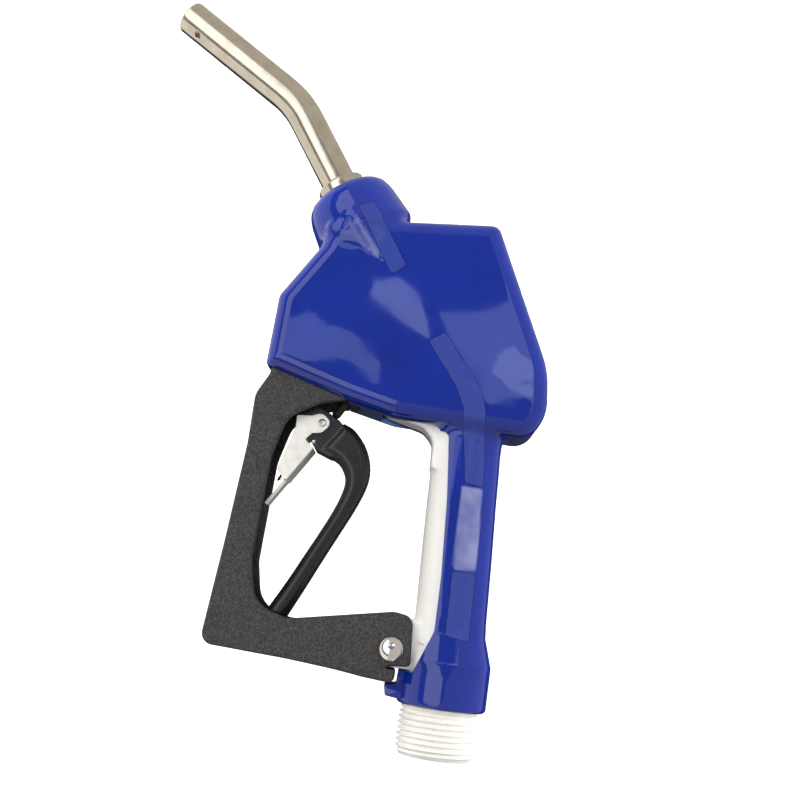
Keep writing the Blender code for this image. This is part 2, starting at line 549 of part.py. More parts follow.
# --------------------------------------------------------------------- lever
LEVER = [
    (-56.4, 133.6, 1.0), (-50.6, 131.2, 8.0), (-43.0, 119.6, 14.0), (-42.6, 108.2, 14.0), (-50.2, 89.5, 30.0), (-61.8, 66.0, 30.0), (-71.2, 44.6, 2.0),
    (-78.4, 46.0, 2.0), (-71.5, 62.5, 30.0), (-60.0, 86.6, 20.0), (-53.3, 103.0, 9.0), (-54.0, 113.5, 5.0), (-62.4, 118.3, 3.0),
]
lever = slab("lever", LEVER, both_sides(8.2, 2.6), SATIN, 2)
HEAD = [
    (PIVOT[0] - 2.0, PIVOT[2] + 4.0, 0.6), (PIVOT[0] + 2.8, PIVOT[2] + 3.8, 1.0), (-77.0, 143.4, 3.0), at(-4.0, -9.5) + (3.0,), at(3.5, -9.5) + (1.0,), (-53.0, 128.0, 1.0),
    (-53.6, 118.0, 2.0), (-61.0, 117.6, 2.0), (-67.8, 120.1, 1.4), (-72.4, 126.4, 3.0), (PIVOT[0] - 3.6, PIVOT[2] - 3.2, 1.0),
]
join(lever, plate("head", HEAD, -6.8, 6.8, None, 2))
join(lever, rod("boss", 4.8, -6.75, 6.75, PIVOT, (0, 1, 0), n=16))
cut(lever, plate("fork", [(-98.0, 126.0, 1.0), (-82.0, 132.0, 2.0), (-76.2, 138.4, 2.0), (-76.2, 156.0, 2.0), (-98.0, 156.0, 1.0)], -3.95, 3.95, None, 2))
cut(lever, rod("pin_hole", 2.1, -12, 12, PIVOT, (0, 1, 0), n=12))
cut(lever, rod("latch_hole", 1.75, -12, 12, (LATCH_X, 0, LATCH_Z), (0, 1, 0), n=12))
cut(lever, rod("stop_hole", 1.15, -12, 12, (STOP_X, 0, STOP_Z), (0, 1, 0), n=10))
turned("lever_pin", [(0, -8.6), (2.8, -8.6), (2.8, -7.2), (1.8, -7.2), (1.8, 7.2), (2.8, 7.2), (2.8, 8.6), (0, 8.6)], PIVOT, (0, 1, 0), STEEL, 12)

# --------------------------------------------------------------------- latch
PLATE = [
    (-66.9, 136.0, 4.0), (-61.9, 132.2, 4.0), (-65.8, 127.2, 4.0), (-69.8, 126.6, 1.0), (-72.6, 123.5, 1.0), (-69.3, 121.2, 0.6), (-68.4, 120.4, 0.5),
    (-84.9, 93.4, 0.6), (-86.4, 95.4, 0.6), (-83.4, 100.2, 0.6), (-81.2, 104.4, 0.6), (-79.8, 106.2, 0.6), (-82.4, 109.0, 1.2), (-77.4, 128.0, 3.0), (-77.6, 133.6, 0.8), (-71.0, 134.2, 2.0),
]
latch = plate("hold_latch", PLATE, -8.4, 8.4, STAMPED, 2)
INSIDE = [(-58.0, 140.0, 1.0), (-58.0, 119.0, 0.5), (-68.6, 122.7, 0.4), (-69.9, 120.6, 0.4), (-85.9, 94.4, 0.3), (-92.0, 92.0, 1.0), (-92.0, 140.0, 1.0)]
cut(latch, plate("inside", INSIDE, -7.15, 7.15, None, 1))
cut(latch, rod("latch_hole", 1.75, -12, 12, (LATCH_X, 0, LATCH_Z), (0, 1, 0), n=12))
turned("latch_pin", [(0, -9.6), (1.6, -9.6), (2.2, -9.3), (2.2, -8.7), (1.5, -8.7), (1.5, 8.7), (2.2, 8.7), (2.2, 9.3), (1.6, 9.6), (0, 9.6)], (LATCH_X, 0, LATCH_Z), (0, 1, 0), BRIGHT, 12)
rod("stop_pin", 0.85, -7.0, 7.0, (STOP_X, 0, STOP_Z), (0, 1, 0), BRIGHT, 10)
spring_pts = [(-71.6, 2.0, 124.4), (-73.4, 2.0, 121.4), (-76.4, 2.0, 115.4), (-79.4, 2.0, 109.6), (-81.6, 2.0, 106.4), (-82.6, 0.0, 104.6), (-81.6, -2.0, 106.4), (-80.2, -2.0, 108.8)]
swept("latch_spring", [vec(*p) for p in spring_pts], 0.45, RUBBER, 6)

# ---------------------------------- origins on the joint axes, and who carries whom
def place(name, origin, parent=None):
    obj = bpy.data.objects[name]
    p = vec(*origin)
    obj.data.transform(Matrix.Translation(-p))
    obj.location = p
    if parent:
        obj.parent = bpy.data.objects[parent]
        obj.location = p - ORIGIN[parent]
    ORIGIN[name] = p


ORIGIN = {}
place("valve_stem", VALVE)
place("poppet_seal", VALVE, "valve_stem")
place("valve_poppet", VALVE, "valve_stem")
place("check_poppet", SPOUT)
place("trip_stem", TRIP)
place("lever_pin", PIVOT, "trip_stem")
place("detent_pin", DETENT)
place("diaphragm", DETENT, "detent_pin")
place("lever", PIVOT, "trip_stem")
place("latch_pin", (LATCH_X, 0, LATCH_Z), "lever")
place("stop_pin", (STOP_X, 0, STOP_Z), "lever")
place("hold_latch", (LATCH_X, 0, LATCH_Z), "lever")
place("latch_spring", (LATCH_X, 0, LATCH_Z), "hold_latch")

# --------------------------------------------------------------- smooth looks
for obj in bpy.data.objects:
    if obj.type == "MESH":
        obj.data.shade_smooth()
        obj.data.set_sharp_from_angle(angle=math.radians(32))
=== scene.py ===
"""Looks of the automatic dispensing nozzle: glossy dipped cover with its cut edges,
white moulding and thread, drawn steel spout, grained hand guard, satin lever,
stamped hold-open latch.  Lengths are millimetres and are scaled when meshes are made."""
import json
import math

import bmesh
import bpy
import numpy as np
from mathutils import Matrix, Vector

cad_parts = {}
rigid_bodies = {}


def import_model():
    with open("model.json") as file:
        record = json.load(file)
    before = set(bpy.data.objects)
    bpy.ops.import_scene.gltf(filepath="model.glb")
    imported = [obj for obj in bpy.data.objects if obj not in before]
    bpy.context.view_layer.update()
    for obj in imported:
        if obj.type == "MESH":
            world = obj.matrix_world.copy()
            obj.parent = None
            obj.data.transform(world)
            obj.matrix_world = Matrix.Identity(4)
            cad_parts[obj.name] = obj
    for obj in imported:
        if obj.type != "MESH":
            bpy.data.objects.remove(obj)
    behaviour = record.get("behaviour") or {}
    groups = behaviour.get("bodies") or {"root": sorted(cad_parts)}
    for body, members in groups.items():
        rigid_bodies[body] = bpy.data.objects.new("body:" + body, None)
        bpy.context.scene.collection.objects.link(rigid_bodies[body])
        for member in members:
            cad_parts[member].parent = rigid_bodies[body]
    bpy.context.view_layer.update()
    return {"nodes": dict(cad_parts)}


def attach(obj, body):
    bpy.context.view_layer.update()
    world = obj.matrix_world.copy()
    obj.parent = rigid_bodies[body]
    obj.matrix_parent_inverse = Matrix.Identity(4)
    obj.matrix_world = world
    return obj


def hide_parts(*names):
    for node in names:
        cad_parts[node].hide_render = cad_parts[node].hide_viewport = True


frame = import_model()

MM = 0.001

# ---------------------------------------------------------------- dimensions
SKIN, GAP = 2.0, 0.3
CASING = [
    (-71.7, 219.4, 6.0), (-93.1, 184.3, 6.0), (-93.8, 152.4, 2.6), (-57.0, 142.0, 30.0), (-36.0, 137.5, 20.0),
    (23.2, 135.9, 10.0), (29.3, 147.9, 20.0), (27.4, 167.1, 40.0), (-1.4, 229.2, 4.6), (-45.2, 225.2, 6.0),
]
CASING_Y, CASING_R = 20.0, 7.0
SPOUT_X, SPOUT_Z = -74.7, 242.0
SPOUT_TILT, SPOUT_BEND = math.radians(34.3), math.radians(23.1)
SPOUT_R, SPOUT_WALL = 7.9, 1.0
SPOUT_STRAIGHT_1, SPOUT_BEND_R, SPOUT_STRAIGHT_2, SPOUT_INSIDE = 37.3, 45.0, 58.9, 16.0
VALVE_X, VALVE_Z, VALVE_TILT = -57.6, 144.0, math.radians(29.0)
TRIP_OFFSET, PIVOT_U, DETENT_U = -23.0, -12.0, 36.0
HANDLE = [
    (150.0, -17.5, 13.0, 14.0), (128.0, -17.2, 12.4, 14.2), (118.0, -17.0, 12.8, 14.3), (107.0, -16.8, 13.1, 14.3),
    (80.0, -16.0, 14.4, 14.4), (56.0, -15.2, 15.2, 14.6), (50.5, -15.2, 15.6, 14.9), (38.6, -18.4, 19.3, 18.7), (34.0, -18.45, 19.35, 18.9), (18.0, -18.45, 19.35, 18.9),
]
SLEEVE_Z = 20.0
RIVET_X, RIVET_Z, RIVET_R = -23.4, 41.5, 5.3
GUARD_Y, CHEEK = 13.5, 3.0
LATCH_X, LATCH_Z = -66.2, 131.7
STOP_X, STOP_Z = -68.6, 123.2
THREAD_R, THREAD_PITCH, THREAD_DEPTH, THREAD_LEN, BORE_R = 16.62, 2.309, 1.48, 18.6, 11.0

U = (math.sin(VALVE_TILT), 0.0, math.cos(VALVE_TILT))
V = (math.cos(VALVE_TILT), 0.0, -math.sin(VALVE_TILT))
S = (-math.sin(SPOUT_TILT), 0.0, math.cos(SPOUT_TILT))
SPOUT = (SPOUT_X, 0.0, SPOUT_Z)
VALVE = (VALVE_X, 0.0, VALVE_Z)
TRIP = (VALVE_X + TRIP_OFFSET * V[0], 0.0, VALVE_Z + TRIP_OFFSET * V[2])
DETENT = (TRIP[0] + DETENT_U * U[0], 0.0, TRIP[2] + DETENT_U * U[2])
LEFT = (-V[0], 0.0, -V[2])
PIVOT = (TRIP[0] + PIVOT_U * U[0], 0.0, TRIP[2] + PIVOT_U * U[2])


def at(v, u):
    return (VALVE_X + v * V[0] + u * U[0], VALVE_Z + v * V[2] + u * U[2])


def under(x, inside):
    (x0, z0, _), (x1, z1, _) = CASING[2], CASING[3]
    slope = (z1 - z0) / (x1 - x0)
    return z0 + (x - x0) * slope + inside * math.hypot(1.0, slope)


# ------------------------------------------------------------- mesh building
def make(name, verts, faces, mats=(), smooth=35.0):
    """Object from points in millimetres."""
    mesh = bpy.data.meshes.new(name)
    mesh.from_pydata([tuple(p) for p in (np.asarray(verts, float) * MM)], [], [tuple(int(i) for i in f) for f in faces])
    mesh.validate()
    mesh.update()
    obj = bpy.data.objects.new(name, mesh)
    bpy.context.scene.collection.objects.link(obj)
    for m in mats:
        mesh.materials.append(m)
    finish_normals(obj, smooth)
    return obj


def finish_normals(obj, smooth=35.0):
    obj.data.shade_smooth()
    if smooth < 180:
        obj.data.set_sharp_from_angle(angle=math.radians(smooth))


def loops(name, rows, mats=(), closed=False, smooth=35.0):
    rows = [np.asarray(r, float) for r in rows]
    n = len(rows[0])
    verts = np.concatenate(rows)
    faces = []
    count = len(rows)
    for k in range(count if closed else count - 1):
        a, b = k * n, ((k + 1) % count) * n
        for i in range(n):
            j = (i + 1) % n
            faces.append((a + i, a + j, b + j, b + i))
    if not closed:
        faces.append(tuple(range(n - 1, -1, -1)))
        faces.append(tuple((count - 1) * n + i for i in range(n)))
    obj = make(name, verts, faces, mats, 180)
    tidy(obj)
    finish_normals(obj, smooth)
    return obj


def tidy(obj, dist=1e-6):
    bm = bmesh.new()
    bm.from_mesh(obj.data)
    bmesh.ops.remove_doubles(bm, verts=bm.verts, dist=dist)
    bmesh.ops.dissolve_degenerate(bm, dist=1e-7, edges=bm.edges)
    bmesh.ops.delete(bm, geom=[e for e in bm.edges if not e.link_faces], context="EDGES")
    bmesh.ops.recalc_face_normals(bm, faces=bm.faces)
    bm.to_mesh(obj.data)
    bm.free()


def frame_of(direction):
    d = Vector(direction).normalized()
    side = Vector((0.0, 1.0, 0.0))
    if abs(d.dot(side)) > 0.9:
        side = Vector((0.0, 0.0, 1.0))
    a = d.cross(side).normalized()
    return d, a, d.cross(a).normalized()


def turned(name, profile, origin, direction, mats=(), n=64, smooth=35.0):
    d, a, b = (np.array(v) for v in frame_of(direction))
    o = np.array(origin, float)
    rows = []
    for k in range(n):
        t = 2 * math.pi * k / n
        out = a * math.cos(t) + b * math.sin(t)
        rows.append([o + d * s + out * max(r, 0.0) for r, s in profile])
    return loops(name, rows, mats, closed=True, smooth=smooth)


def rod(name, r, s0, s1, origin, direction, mats=(), n=48):
    return turned(name, [(0, s0), (r, s0), (r, s1), (0, s1)], origin, direction, mats, n)


def soften(profile, r, steps=4):
    """Round the corners of a (radius, height) loop, apart from those on the axis."""
    out = []
    n = len(profile)
    for i in range(n):
        p, a, b = (np.array(profile[j], float) for j in (i, i - 1, (i + 1) % n))
        if p[0] <= 1e-6:
            out.append(tuple(p))
            continue
        u, w = a - p, b - p
        lu, lw = np.linalg.norm(u), np.linalg.norm(w)
        reach = min(r, 0.42 * lu, 0.42 * lw)
        s, e = p + u / lu * reach, p + w / lw * reach
        for k in range(steps + 1):
            t = k / steps
            out.append(tuple((1 - t) ** 2 * s + 2 * t * (1 - t) * p + t * t * e))
    return out


def outline(corners, inset=0.0, steps=6):
    n = len(corners)
    pts = [Vector((c[0], c[1])) for c in corners]
    area = sum(pts[i].x * pts[(i + 1) % n].y - pts[(i + 1) % n].x * pts[i].y for i in range(n))
    turn = 1.0 if area > 0 else -1.0
    lines = []
    for i in range(n):
        p, q = pts[i], pts[(i + 1) % n]
        d = (q - p).normalized()
        lines.append((p + Vector((-d.y, d.x)) * turn * inset, d))
    moved = []
    for i in range(n):
        (p, d), (q, e) = lines[i - 1], lines[i]
        cross = d.x * e.y - d.y * e.x
        moved.append(p + d * (((q.x - p.x) * e.y - (q.y - p.y) * e.x) / cross))
    out = []
    for i in range(n):
        c = moved[i]
        before, after = (moved[i - 1] - c).normalized(), (moved[(i + 1) % n] - c).normalized()
        half = before.angle(after) / 2.0
        convex = (before.x * after.y - before.y * after.x) * turn < 0
        r = max(corners[i][2] + (-inset if convex else inset), 0.2)
        reach = min(r / math.tan(half), 0.47 * (moved[i - 1] - c).length, 0.47 * (moved[(i + 1) % n] - c).length)
        r = reach * math.tan(half)
        start, end = c + before * reach, c + after * reach
        centre = c + (before + after).normalized() * (r / math.sin(half))
        va, vb = start - centre, end - centre
        sweep = va.angle(vb)
        sign = 1.0 if va.x * vb.y - va.y * vb.x > 0 else -1.0
        for k in range(steps + 1):
            a = sign * sweep * k / steps
            out.append(centre + Vector((va.x * math.cos(a) - va.y * math.sin(a), va.x * math.sin(a) + va.y * math.cos(a))))
    return out


def plate(name, corners, y0, y1, mats=(), steps=5, edge=0.0, smooth=35.0):
    """Flat piece with its outline in the side view; edge rounds both rims."""
    layers = [(y0, 0.0), (y1, 0.0)]
    if edge > 0:
        arc = [(edge * (1 - math.cos(t)), edge * (1 - math.sin(t))) for t in (0.0, math.pi / 6, math.pi / 3, math.pi / 2)]
        layers = [(y0 + dy, inset) for dy, inset in arc] + [(y1 - dy, inset) for dy, inset in reversed(arc)]
    rows = [[(p.x, y, p.y) for p in outline(corners, inset, steps)] for y, inset in layers]
    return loops(name, rows, mats, smooth=smooth)


def boolean(obj, others, how="DIFFERENCE", smooth=35.0):
    group = bpy.data.collections.new("operands")
    bpy.context.scene.collection.children.link(group)
    for o in others:
        bpy.context.scene.collection.objects.unlink(o)
        group.objects.link(o)
    mod = obj.modifiers.new("bool", "BOOLEAN")
    mod.operation = how
    mod.solver = "EXACT"
    mod.operand_type = "COLLECTION"
    mod.collection = group
    mod.material_mode = "TRANSFER"
    bpy.context.view_layer.update()
    graph = bpy.context.evaluated_depsgraph_get()
    mesh = bpy.data.meshes.new_from_object(obj.evaluated_get(graph))
    obj.modifiers.clear()
    obj.data = mesh
    for o in list(group.objects):
        bpy.data.objects.remove(o, do_unlink=True)
    bpy.data.collections.remove(group)
    finish_normals(obj, smooth)
    return obj


# ------------------------------------------------------ surfaces from fields
def poly(points):
    """Signed distance to a closed outline in the side view, negative inside."""
    pts = np.array([(p[0], p[1]) for p in points], float)

    def f(x, z):
        x, z = np.broadcast_arrays(x, z)
        best = np.full(x.shape, 1e12)
        inside = np.zeros(x.shape, bool)
        for i in range(len(pts)):
            ax, az = pts[i - 1]
            bx, bz = pts[i]
            ex, ez = bx - ax, bz - az
            length = ex * ex + ez * ez
            if length < 1e-12:
                continue
            wx, wz = x - ax, z - az
            t = np.clip((wx * ex + wz * ez) / length, 0, 1)
            np.minimum(best, (wx - ex * t) ** 2 + (wz - ez * t) ** 2, out=best)
            if az != bz:
                inside ^= ((az <= z) != (bz <= z)) & (x < ax + (z - az) * ex / ez)
        return np.where(inside, -1.0, 1.0) * np.sqrt(best)
    return f


def both(a, b, r):
    """Inside both, with the edge between them rounded to r."""
    a, b = a + r, b + r
    return np.minimum(np.maximum(a, b), 0) + np.hypot(np.maximum(a, 0), np.maximum(b, 0)) - r


def either(a, b, k):
    """Inside either, blended over k."""
    h = np.clip(0.5 + 0.5 * (b - a) / k, 0, 1)
    return b + (a - b) * h - k * h * (1 - h)


def without(a, b, k):
    return -either(-a, b, k)


def ramp(x, a, b):
    t = np.clip((x - a) / (b - a), 0, 1)
    return t * t * (3 - 2 * t)


def net(name, field, low, high, step, mats=(), refine=2, smooth=180.0):
    """Mesh the zero surface of a field: one point per cell, then drawn onto it."""
    ax = [np.arange(low[i], high[i] + step, step) for i in range(3)]
    shape = tuple(len(a) for a in ax)
    g = np.array(np.broadcast_to(field(ax[0][:, None, None], ax[1][None, :, None], ax[2][None, None, :]), shape), dtype=np.float32)
    s = g < 0
    cells = tuple(n - 1 for n in shape)
    count = np.zeros(cells, np.uint8)
    for i in (0, 1):
        for j in (0, 1):
            for k in (0, 1):
                count += s[i:i + cells[0], j:j + cells[1], k:k + cells[2]]
    active = (count > 0) & (count < 8)
    where = np.argwhere(active)
    index = np.full(cells, -1, np.int64)
    index[active] = np.arange(len(where))
    pos, hits = np.zeros((len(where), 3)), np.zeros(len(where))
    corner = {}
    for c in [(i, j, k) for i in (0, 1) for j in (0, 1) for k in (0, 1)]:
        corner[c] = g[where[:, 0] + c[0], where[:, 1] + c[1], where[:, 2] + c[2]]
    for a in corner:
        for d in range(3):
            if a[d]:
                continue
            b = tuple(1 if i == d else a[i] for i in range(3))
            va, vb = corner[a], corner[b]
            m = (va < 0) != (vb < 0)
            t = np.where(m, va / np.where(m, va - vb, 1), 0)
            p = np.tile(np.array(a, float), (len(where), 1))
            p[:, d] += t
            pos[m] += p[m]
            hits[m] += 1
    pts = np.array(low, float) + step * (where + pos / hits[:, None])
    for _ in range(refine):
        e = 0.02
        v = field(pts[:, 0], pts[:, 1], pts[:, 2])
        grad = np.stack([field(*(pts + e * np.eye(3)[d]).T) - v for d in range(3)], axis=1) / e
        size = np.maximum((grad ** 2).sum(1), 0.2)
        move = grad * (v / size)[:, None]
        reach = np.linalg.norm(move, axis=1)
        move *= np.minimum(1.0, 0.7 * step / np.maximum(reach, 1e-9))[:, None]
        pts = pts - move
    faces = []
    for d in range(3):
        e, f = (d + 1) % 3, (d + 2) % 3
        lo = [slice(None)] * 3
        hi = [slice(None)] * 3
        lo[d], hi[d] = slice(0, -1), slice(1, None)
        change = s[tuple(lo)] != s[tuple(hi)]
        spot = np.argwhere(change)
        spot = spot[(spot[:, e] > 0) & (spot[:, f] > 0) & (spot[:, e] < shape[e] - 1) & (spot[:, f] < shape[f] - 1)]
        quad = []
        for de, df in ((1, 1), (0, 1), (0, 0), (1, 0)):
            c = spot.copy()
            c[:, e] -= de
            c[:, f] -= df
            quad.append(index[c[:, 0], c[:, 1], c[:, 2]])
        quad = np.stack(quad, axis=1)
        starts = s[spot[:, 0], spot[:, 1], spot[:, 2]]
        quad[~starts] = quad[~starts][:, ::-1]
        faces.append(quad)
    faces = np.concatenate(faces)
    return build(name, pts, faces, mats, smooth)


def build(name, pts, quads, mats=(), smooth=180.0):
    mesh = bpy.data.meshes.new(name)
    mesh.vertices.add(len(pts))
    mesh.vertices.foreach_set("co", (np.asarray(pts) * MM).astype(np.float32).ravel())
    mesh.loops.add(quads.size)
    mesh.loops.foreach_set("vertex_index", quads.astype(np.int32).ravel())
    mesh.polygons.add(len(quads))
    mesh.polygons.foreach_set("loop_start", np.arange(0, quads.size, quads.shape[1], dtype=np.int32))
    mesh.update(calc_edges=True)
    mesh.validate()
    obj = bpy.data.objects.new(name, mesh)
    bpy.context.scene.collection.objects.link(obj)
    for m in mats:
        mesh.materials.append(m)
    finish_normals(obj, smooth)
    return obj


def points_of(obj):
    co = np.zeros(len(obj.data.vertices) * 3, np.float32)
    obj.data.vertices.foreach_get("co", co)
    return co.reshape(-1, 3).astype(float) / MM


def attribute(obj, name, values):
    layer = obj.data.attributes.new(name, "FLOAT", "POINT")
    layer.data.foreach_set("value", np.asarray(values, np.float32))


# ----------------------------------------------------------------- materials
class Look:
    """A Principled material with small helpers for its procedural nodes."""

    def __init__(self, name, color, rough, metal=0.0, **sockets):
        self.mat = bpy.data.materials.new(name)
        self.mat.use_nodes = True
        self.tree = self.mat.node_tree
        self.bsdf = self.tree.nodes["Principled BSDF"]
        self.bsdf.inputs["Base Color"].default_value = (*color, 1)
        self.bsdf.inputs["Roughness"].default_value = rough
        self.bsdf.inputs["Metallic"].default_value = metal
        for key, value in sockets.items():
            self.bsdf.inputs[key.replace("_", " ")].default_value = value
        self.color, self.rough = color, rough
        self.mat.diffuse_color = (*color, 1)
        self.where = self.node("ShaderNodeTexCoord").outputs["Object"]
        self.height = None

    def node(self, kind, **props):
        n = self.tree.nodes.new(kind)
        for key, value in props.items():
            setattr(n, key, value)
        return n

    def link(self, a, b):
        self.tree.links.new(a, b)

    def noise(self, size, detail=3.0, rough=0.55, stretch=(1, 1, 1), distort=0.0, source=None):
        """Noise whose features measure about size millimetres."""
        m = self.node("ShaderNodeMapping")
        m.inputs["Scale"].default_value = stretch
        self.link(source or self.where, m.inputs["Vector"])
        n = self.node("ShaderNodeTexNoise")
        n.inputs["Scale"].default_value = 1000.0 / size
        n.inputs["Detail"].default_value = detail
        n.inputs["Roughness"].default_value = rough
        n.inputs["Distortion"].default_value = distort
        self.link(m.outputs["Vector"], n.inputs["Vector"])
        return n.outputs["Fac"]

    def cells(self, size, feature="F1", smooth=0.0):
        n = self.node("ShaderNodeTexVoronoi", feature=feature)
        n.inputs["Scale"].default_value = 1000.0 / size
        self.link(self.where, n.inputs["Vector"])
        return n.outputs["Distance"]

    def value(self, name):
        return self.node("ShaderNodeAttribute", attribute_name=name).outputs["Fac"]

    def remap(self, source, a, b, c=0.0, d=1.0, smooth=False):
        n = self.node("ShaderNodeMapRange")
        if smooth:
            n.interpolation_type = "SMOOTHSTEP"
        for key, v in (("From Min", a), ("From Max", b), ("To Min", c), ("To Max", d)):
            n.inputs[key].default_value = v
        self.link(source, n.inputs["Value"])
        return n.outputs["Result"]

    def math(self, op, a, b=None):
        n = self.node("ShaderNodeMath", operation=op)
        for i, v in enumerate((a, b)):
            if v is None:
                continue
            if isinstance(v, (int, float)):
                n.inputs[i].default_value = v
            else:
                self.link(v, n.inputs[i])
        return n.outputs[0]

    def mix(self, fac, a, b):
        n = self.node("ShaderNodeMix", data_type="RGBA")
        for sock, v in ((n.inputs[0], fac), (n.inputs[6], a), (n.inputs[7], b)):
            if isinstance(v, (int, float)):
                sock.default_value = v
            elif isinstance(v, tuple):
                sock.default_value = (*v, 1)
            else:
                self.link(v, sock)
        return n.outputs[2]

    def tint(self, source, dark, light, lo=0.3, hi=0.7):
        """Colour that drifts between dark and light versions of the base colour."""
        self.link(self.mix(self.remap(source, lo, hi), dark, light), self.bsdf.inputs["Base Color"])
        return self

    def gloss(self, source, lo, hi, a=0.3, b=0.7):
        self.link(self.remap(source, a, b, lo, hi), self.bsdf.inputs["Roughness"])
        return self

    def bump(self, source, depth, strength=1.0):
        n = self.node("ShaderNodeBump")
        n.inputs["Strength"].default_value = strength
        n.inputs["Distance"].default_value = depth * MM
        self.link(source, n.inputs["Height"])
        if self.height is not None:
            self.link(self.height, n.inputs["Normal"])
        self.height = n.outputs["Normal"]
        self.link(self.height, self.bsdf.inputs["Normal"])
        return self


def shade(c, k):
    return tuple(min(1.0, v * k) for v in c)


def plain(name, color, rough, metal=0.0, size=1.2, vary=0.12, depth=0.02, **sockets):
    """A finish with fine variation in colour, gloss and surface."""
    look = Look(name, color, rough, metal, **sockets)
    n = look.noise(size, 4.0)
    look.tint(look.noise(size * 7, 3.0), shade(color, 1 - vary), shade(color, 1 + vary))
    look.gloss(n, rough * 0.85, min(1.0, rough * 1.18))
    look.bump(n, depth)
    return look.mat


BLUE = (0.0035, 0.0205, 0.255)
WHITE = (0.86, 0.835, 0.785)


def cover_look():
    look = Look("dipped_vinyl", BLUE, 0.07, 0.0, Coat_Weight=0.25, Coat_Roughness=0.03)
    strip = look.remap(look.value("strip"), 0.12, -0.12)
    line = look.math("MULTIPLY", look.remap(look.value("strip"), -0.15, 0.05), look.remap(look.value("strip"), 0.55, 0.2))
    drift = look.remap(look.noise(34, 2.0), 0.3, 0.7)
    base = look.mix(drift, shade(BLUE, 0.88), shade(BLUE, 1.1))
    grain = look.noise(0.55, 2.0)
    matte = look.mix(look.remap(grain, 0.3, 0.7), (0.007, 0.026, 0.22), (0.021, 0.046, 0.285))
    # Painted highlight: a paler, cloudy blue laid in where the attribute read below marks highlight patches on the
    # handle and gusset.
    cloud = look.remap(look.noise(17, 3.0), 0.35, 0.65)
    base = look.mix(look.value("painted_sheen"), base, look.mix(cloud, (0.085, 0.10, 0.36), (0.235, 0.255, 0.47)))
    c = look.mix(strip, base, matte)
    c = look.mix(look.math("MULTIPLY", line, 0.7), c, shade(BLUE, 0.35))
    look.link(c, look.bsdf.inputs["Base Color"])
    fine = look.noise(9, 3.0)
    gloss = look.remap(fine, 0.3, 0.7, 0.03, 0.06)
    n = look.node("ShaderNodeMix", data_type="FLOAT")
    look.link(strip, n.inputs[0])
    look.link(gloss, n.inputs[2])
    n.inputs[3].default_value = 0.46
    look.link(n.outputs[0], look.bsdf.inputs["Roughness"])
    look.bump(look.math("MULTIPLY", grain, strip), 0.09)
    look.bump(look.noise(11, 2.0), 0.002)
    return look.mat


def edge_look():
    look = Look("cut_edge", (0.10, 0.30, 0.62), 0.35)
    look.tint(look.noise(2.2, 3.0), (0.05, 0.17, 0.50), (0.20, 0.46, 0.74))
    look.bump(look.noise(0.8, 3.0), 0.05)
    return look.mat


def white_look(name, color=WHITE, rough=0.42):
    look = Look(name, color, rough, 0.0, Subsurface_Weight=0.0)
    base = look.mix(look.remap(look.noise(16, 3.0), 0.3, 0.7), shade(color, 0.95), shade(color, 1.03))
    base = look.mix(look.value("lap"), base, shade(BLUE, 0.9))
    # Painted shade: near black where the attribute read here marks the moulding's underside inside the mouth.
    base = look.mix(look.value("painted_mouth_shade"), base, (0.006, 0.006, 0.006))
    look.link(base, look.bsdf.inputs["Base Color"])
    fine = look.noise(0.8, 3.0)
    look.gloss(fine, rough * 0.85, rough * 1.15)
    look.bump(fine, 0.015)
    look.bump(look.noise(6, 2.0), 0.03)
    return look.mat


def spout_look():
    look = Look("drawn_steel", (0.66, 0.61, 0.53), 0.26, 1.0)
    join = look.node("ShaderNodeCombineXYZ")
    look.link(look.math("MULTIPLY", look.value("along"), 0.001), join.inputs[0])
    look.link(look.math("MULTIPLY", look.value("around"), 0.001), join.inputs[1])
    lines = look.noise(0.9, 4.0, 0.6, (0.05, 1.6, 1.0), source=join.outputs[0])
    cloud = look.noise(7, 4.0)
    look.tint(cloud, (0.60, 0.545, 0.465), (0.72, 0.675, 0.60))
    look.gloss(lines, 0.12, 0.22)
    look.bump(lines, 0.010)
    look.bump(look.noise(1.1, 4.0), 0.010)
    return look.mat


def guard_look():
    look = Look("grained_black", (0.04, 0.037, 0.038), 0.55)
    grain = look.noise(0.6, 3.0, 0.65)
    cell = look.cells(0.75)
    speck = look.math("MULTIPLY", look.remap(grain, 0.35, 0.72), look.remap(cell, 0.75, 0.2))
    look.link(look.mix(speck, (0.017, 0.016, 0.0165), (0.112, 0.104, 0.104)), look.bsdf.inputs["Base Color"])
    look.gloss(grain, 0.42, 0.7)
    look.bump(grain, 0.18)
    look.bump(cell, 0.06)
    return look.mat


def lever_look():
    look = Look("satin_black", (0.010, 0.0085, 0.009), 0.36)
    n = look.noise(0.5, 4.0)
    look.tint(n, (0.004, 0.0036, 0.0038), (0.015, 0.0132, 0.013))
    look.gloss(n, 0.2, 0.34)
    look.bump(n, 0.035)
    look.bump(look.noise(7, 2.0), 0.05)
    return look.mat


def stamped_look():
    look = Look("plated_sheet", (0.80, 0.785, 0.74), 0.36, 0.35)
    lines = look.noise(0.8, 4.0, 0.6, (1.0, 1.0, 0.25))
    look.tint(look.noise(4, 4.0), (0.74, 0.71, 0.645), (0.85, 0.835, 0.78))
    look.gloss(lines, 0.28, 0.46)
    look.bump(lines, 0.012)
    return look.mat


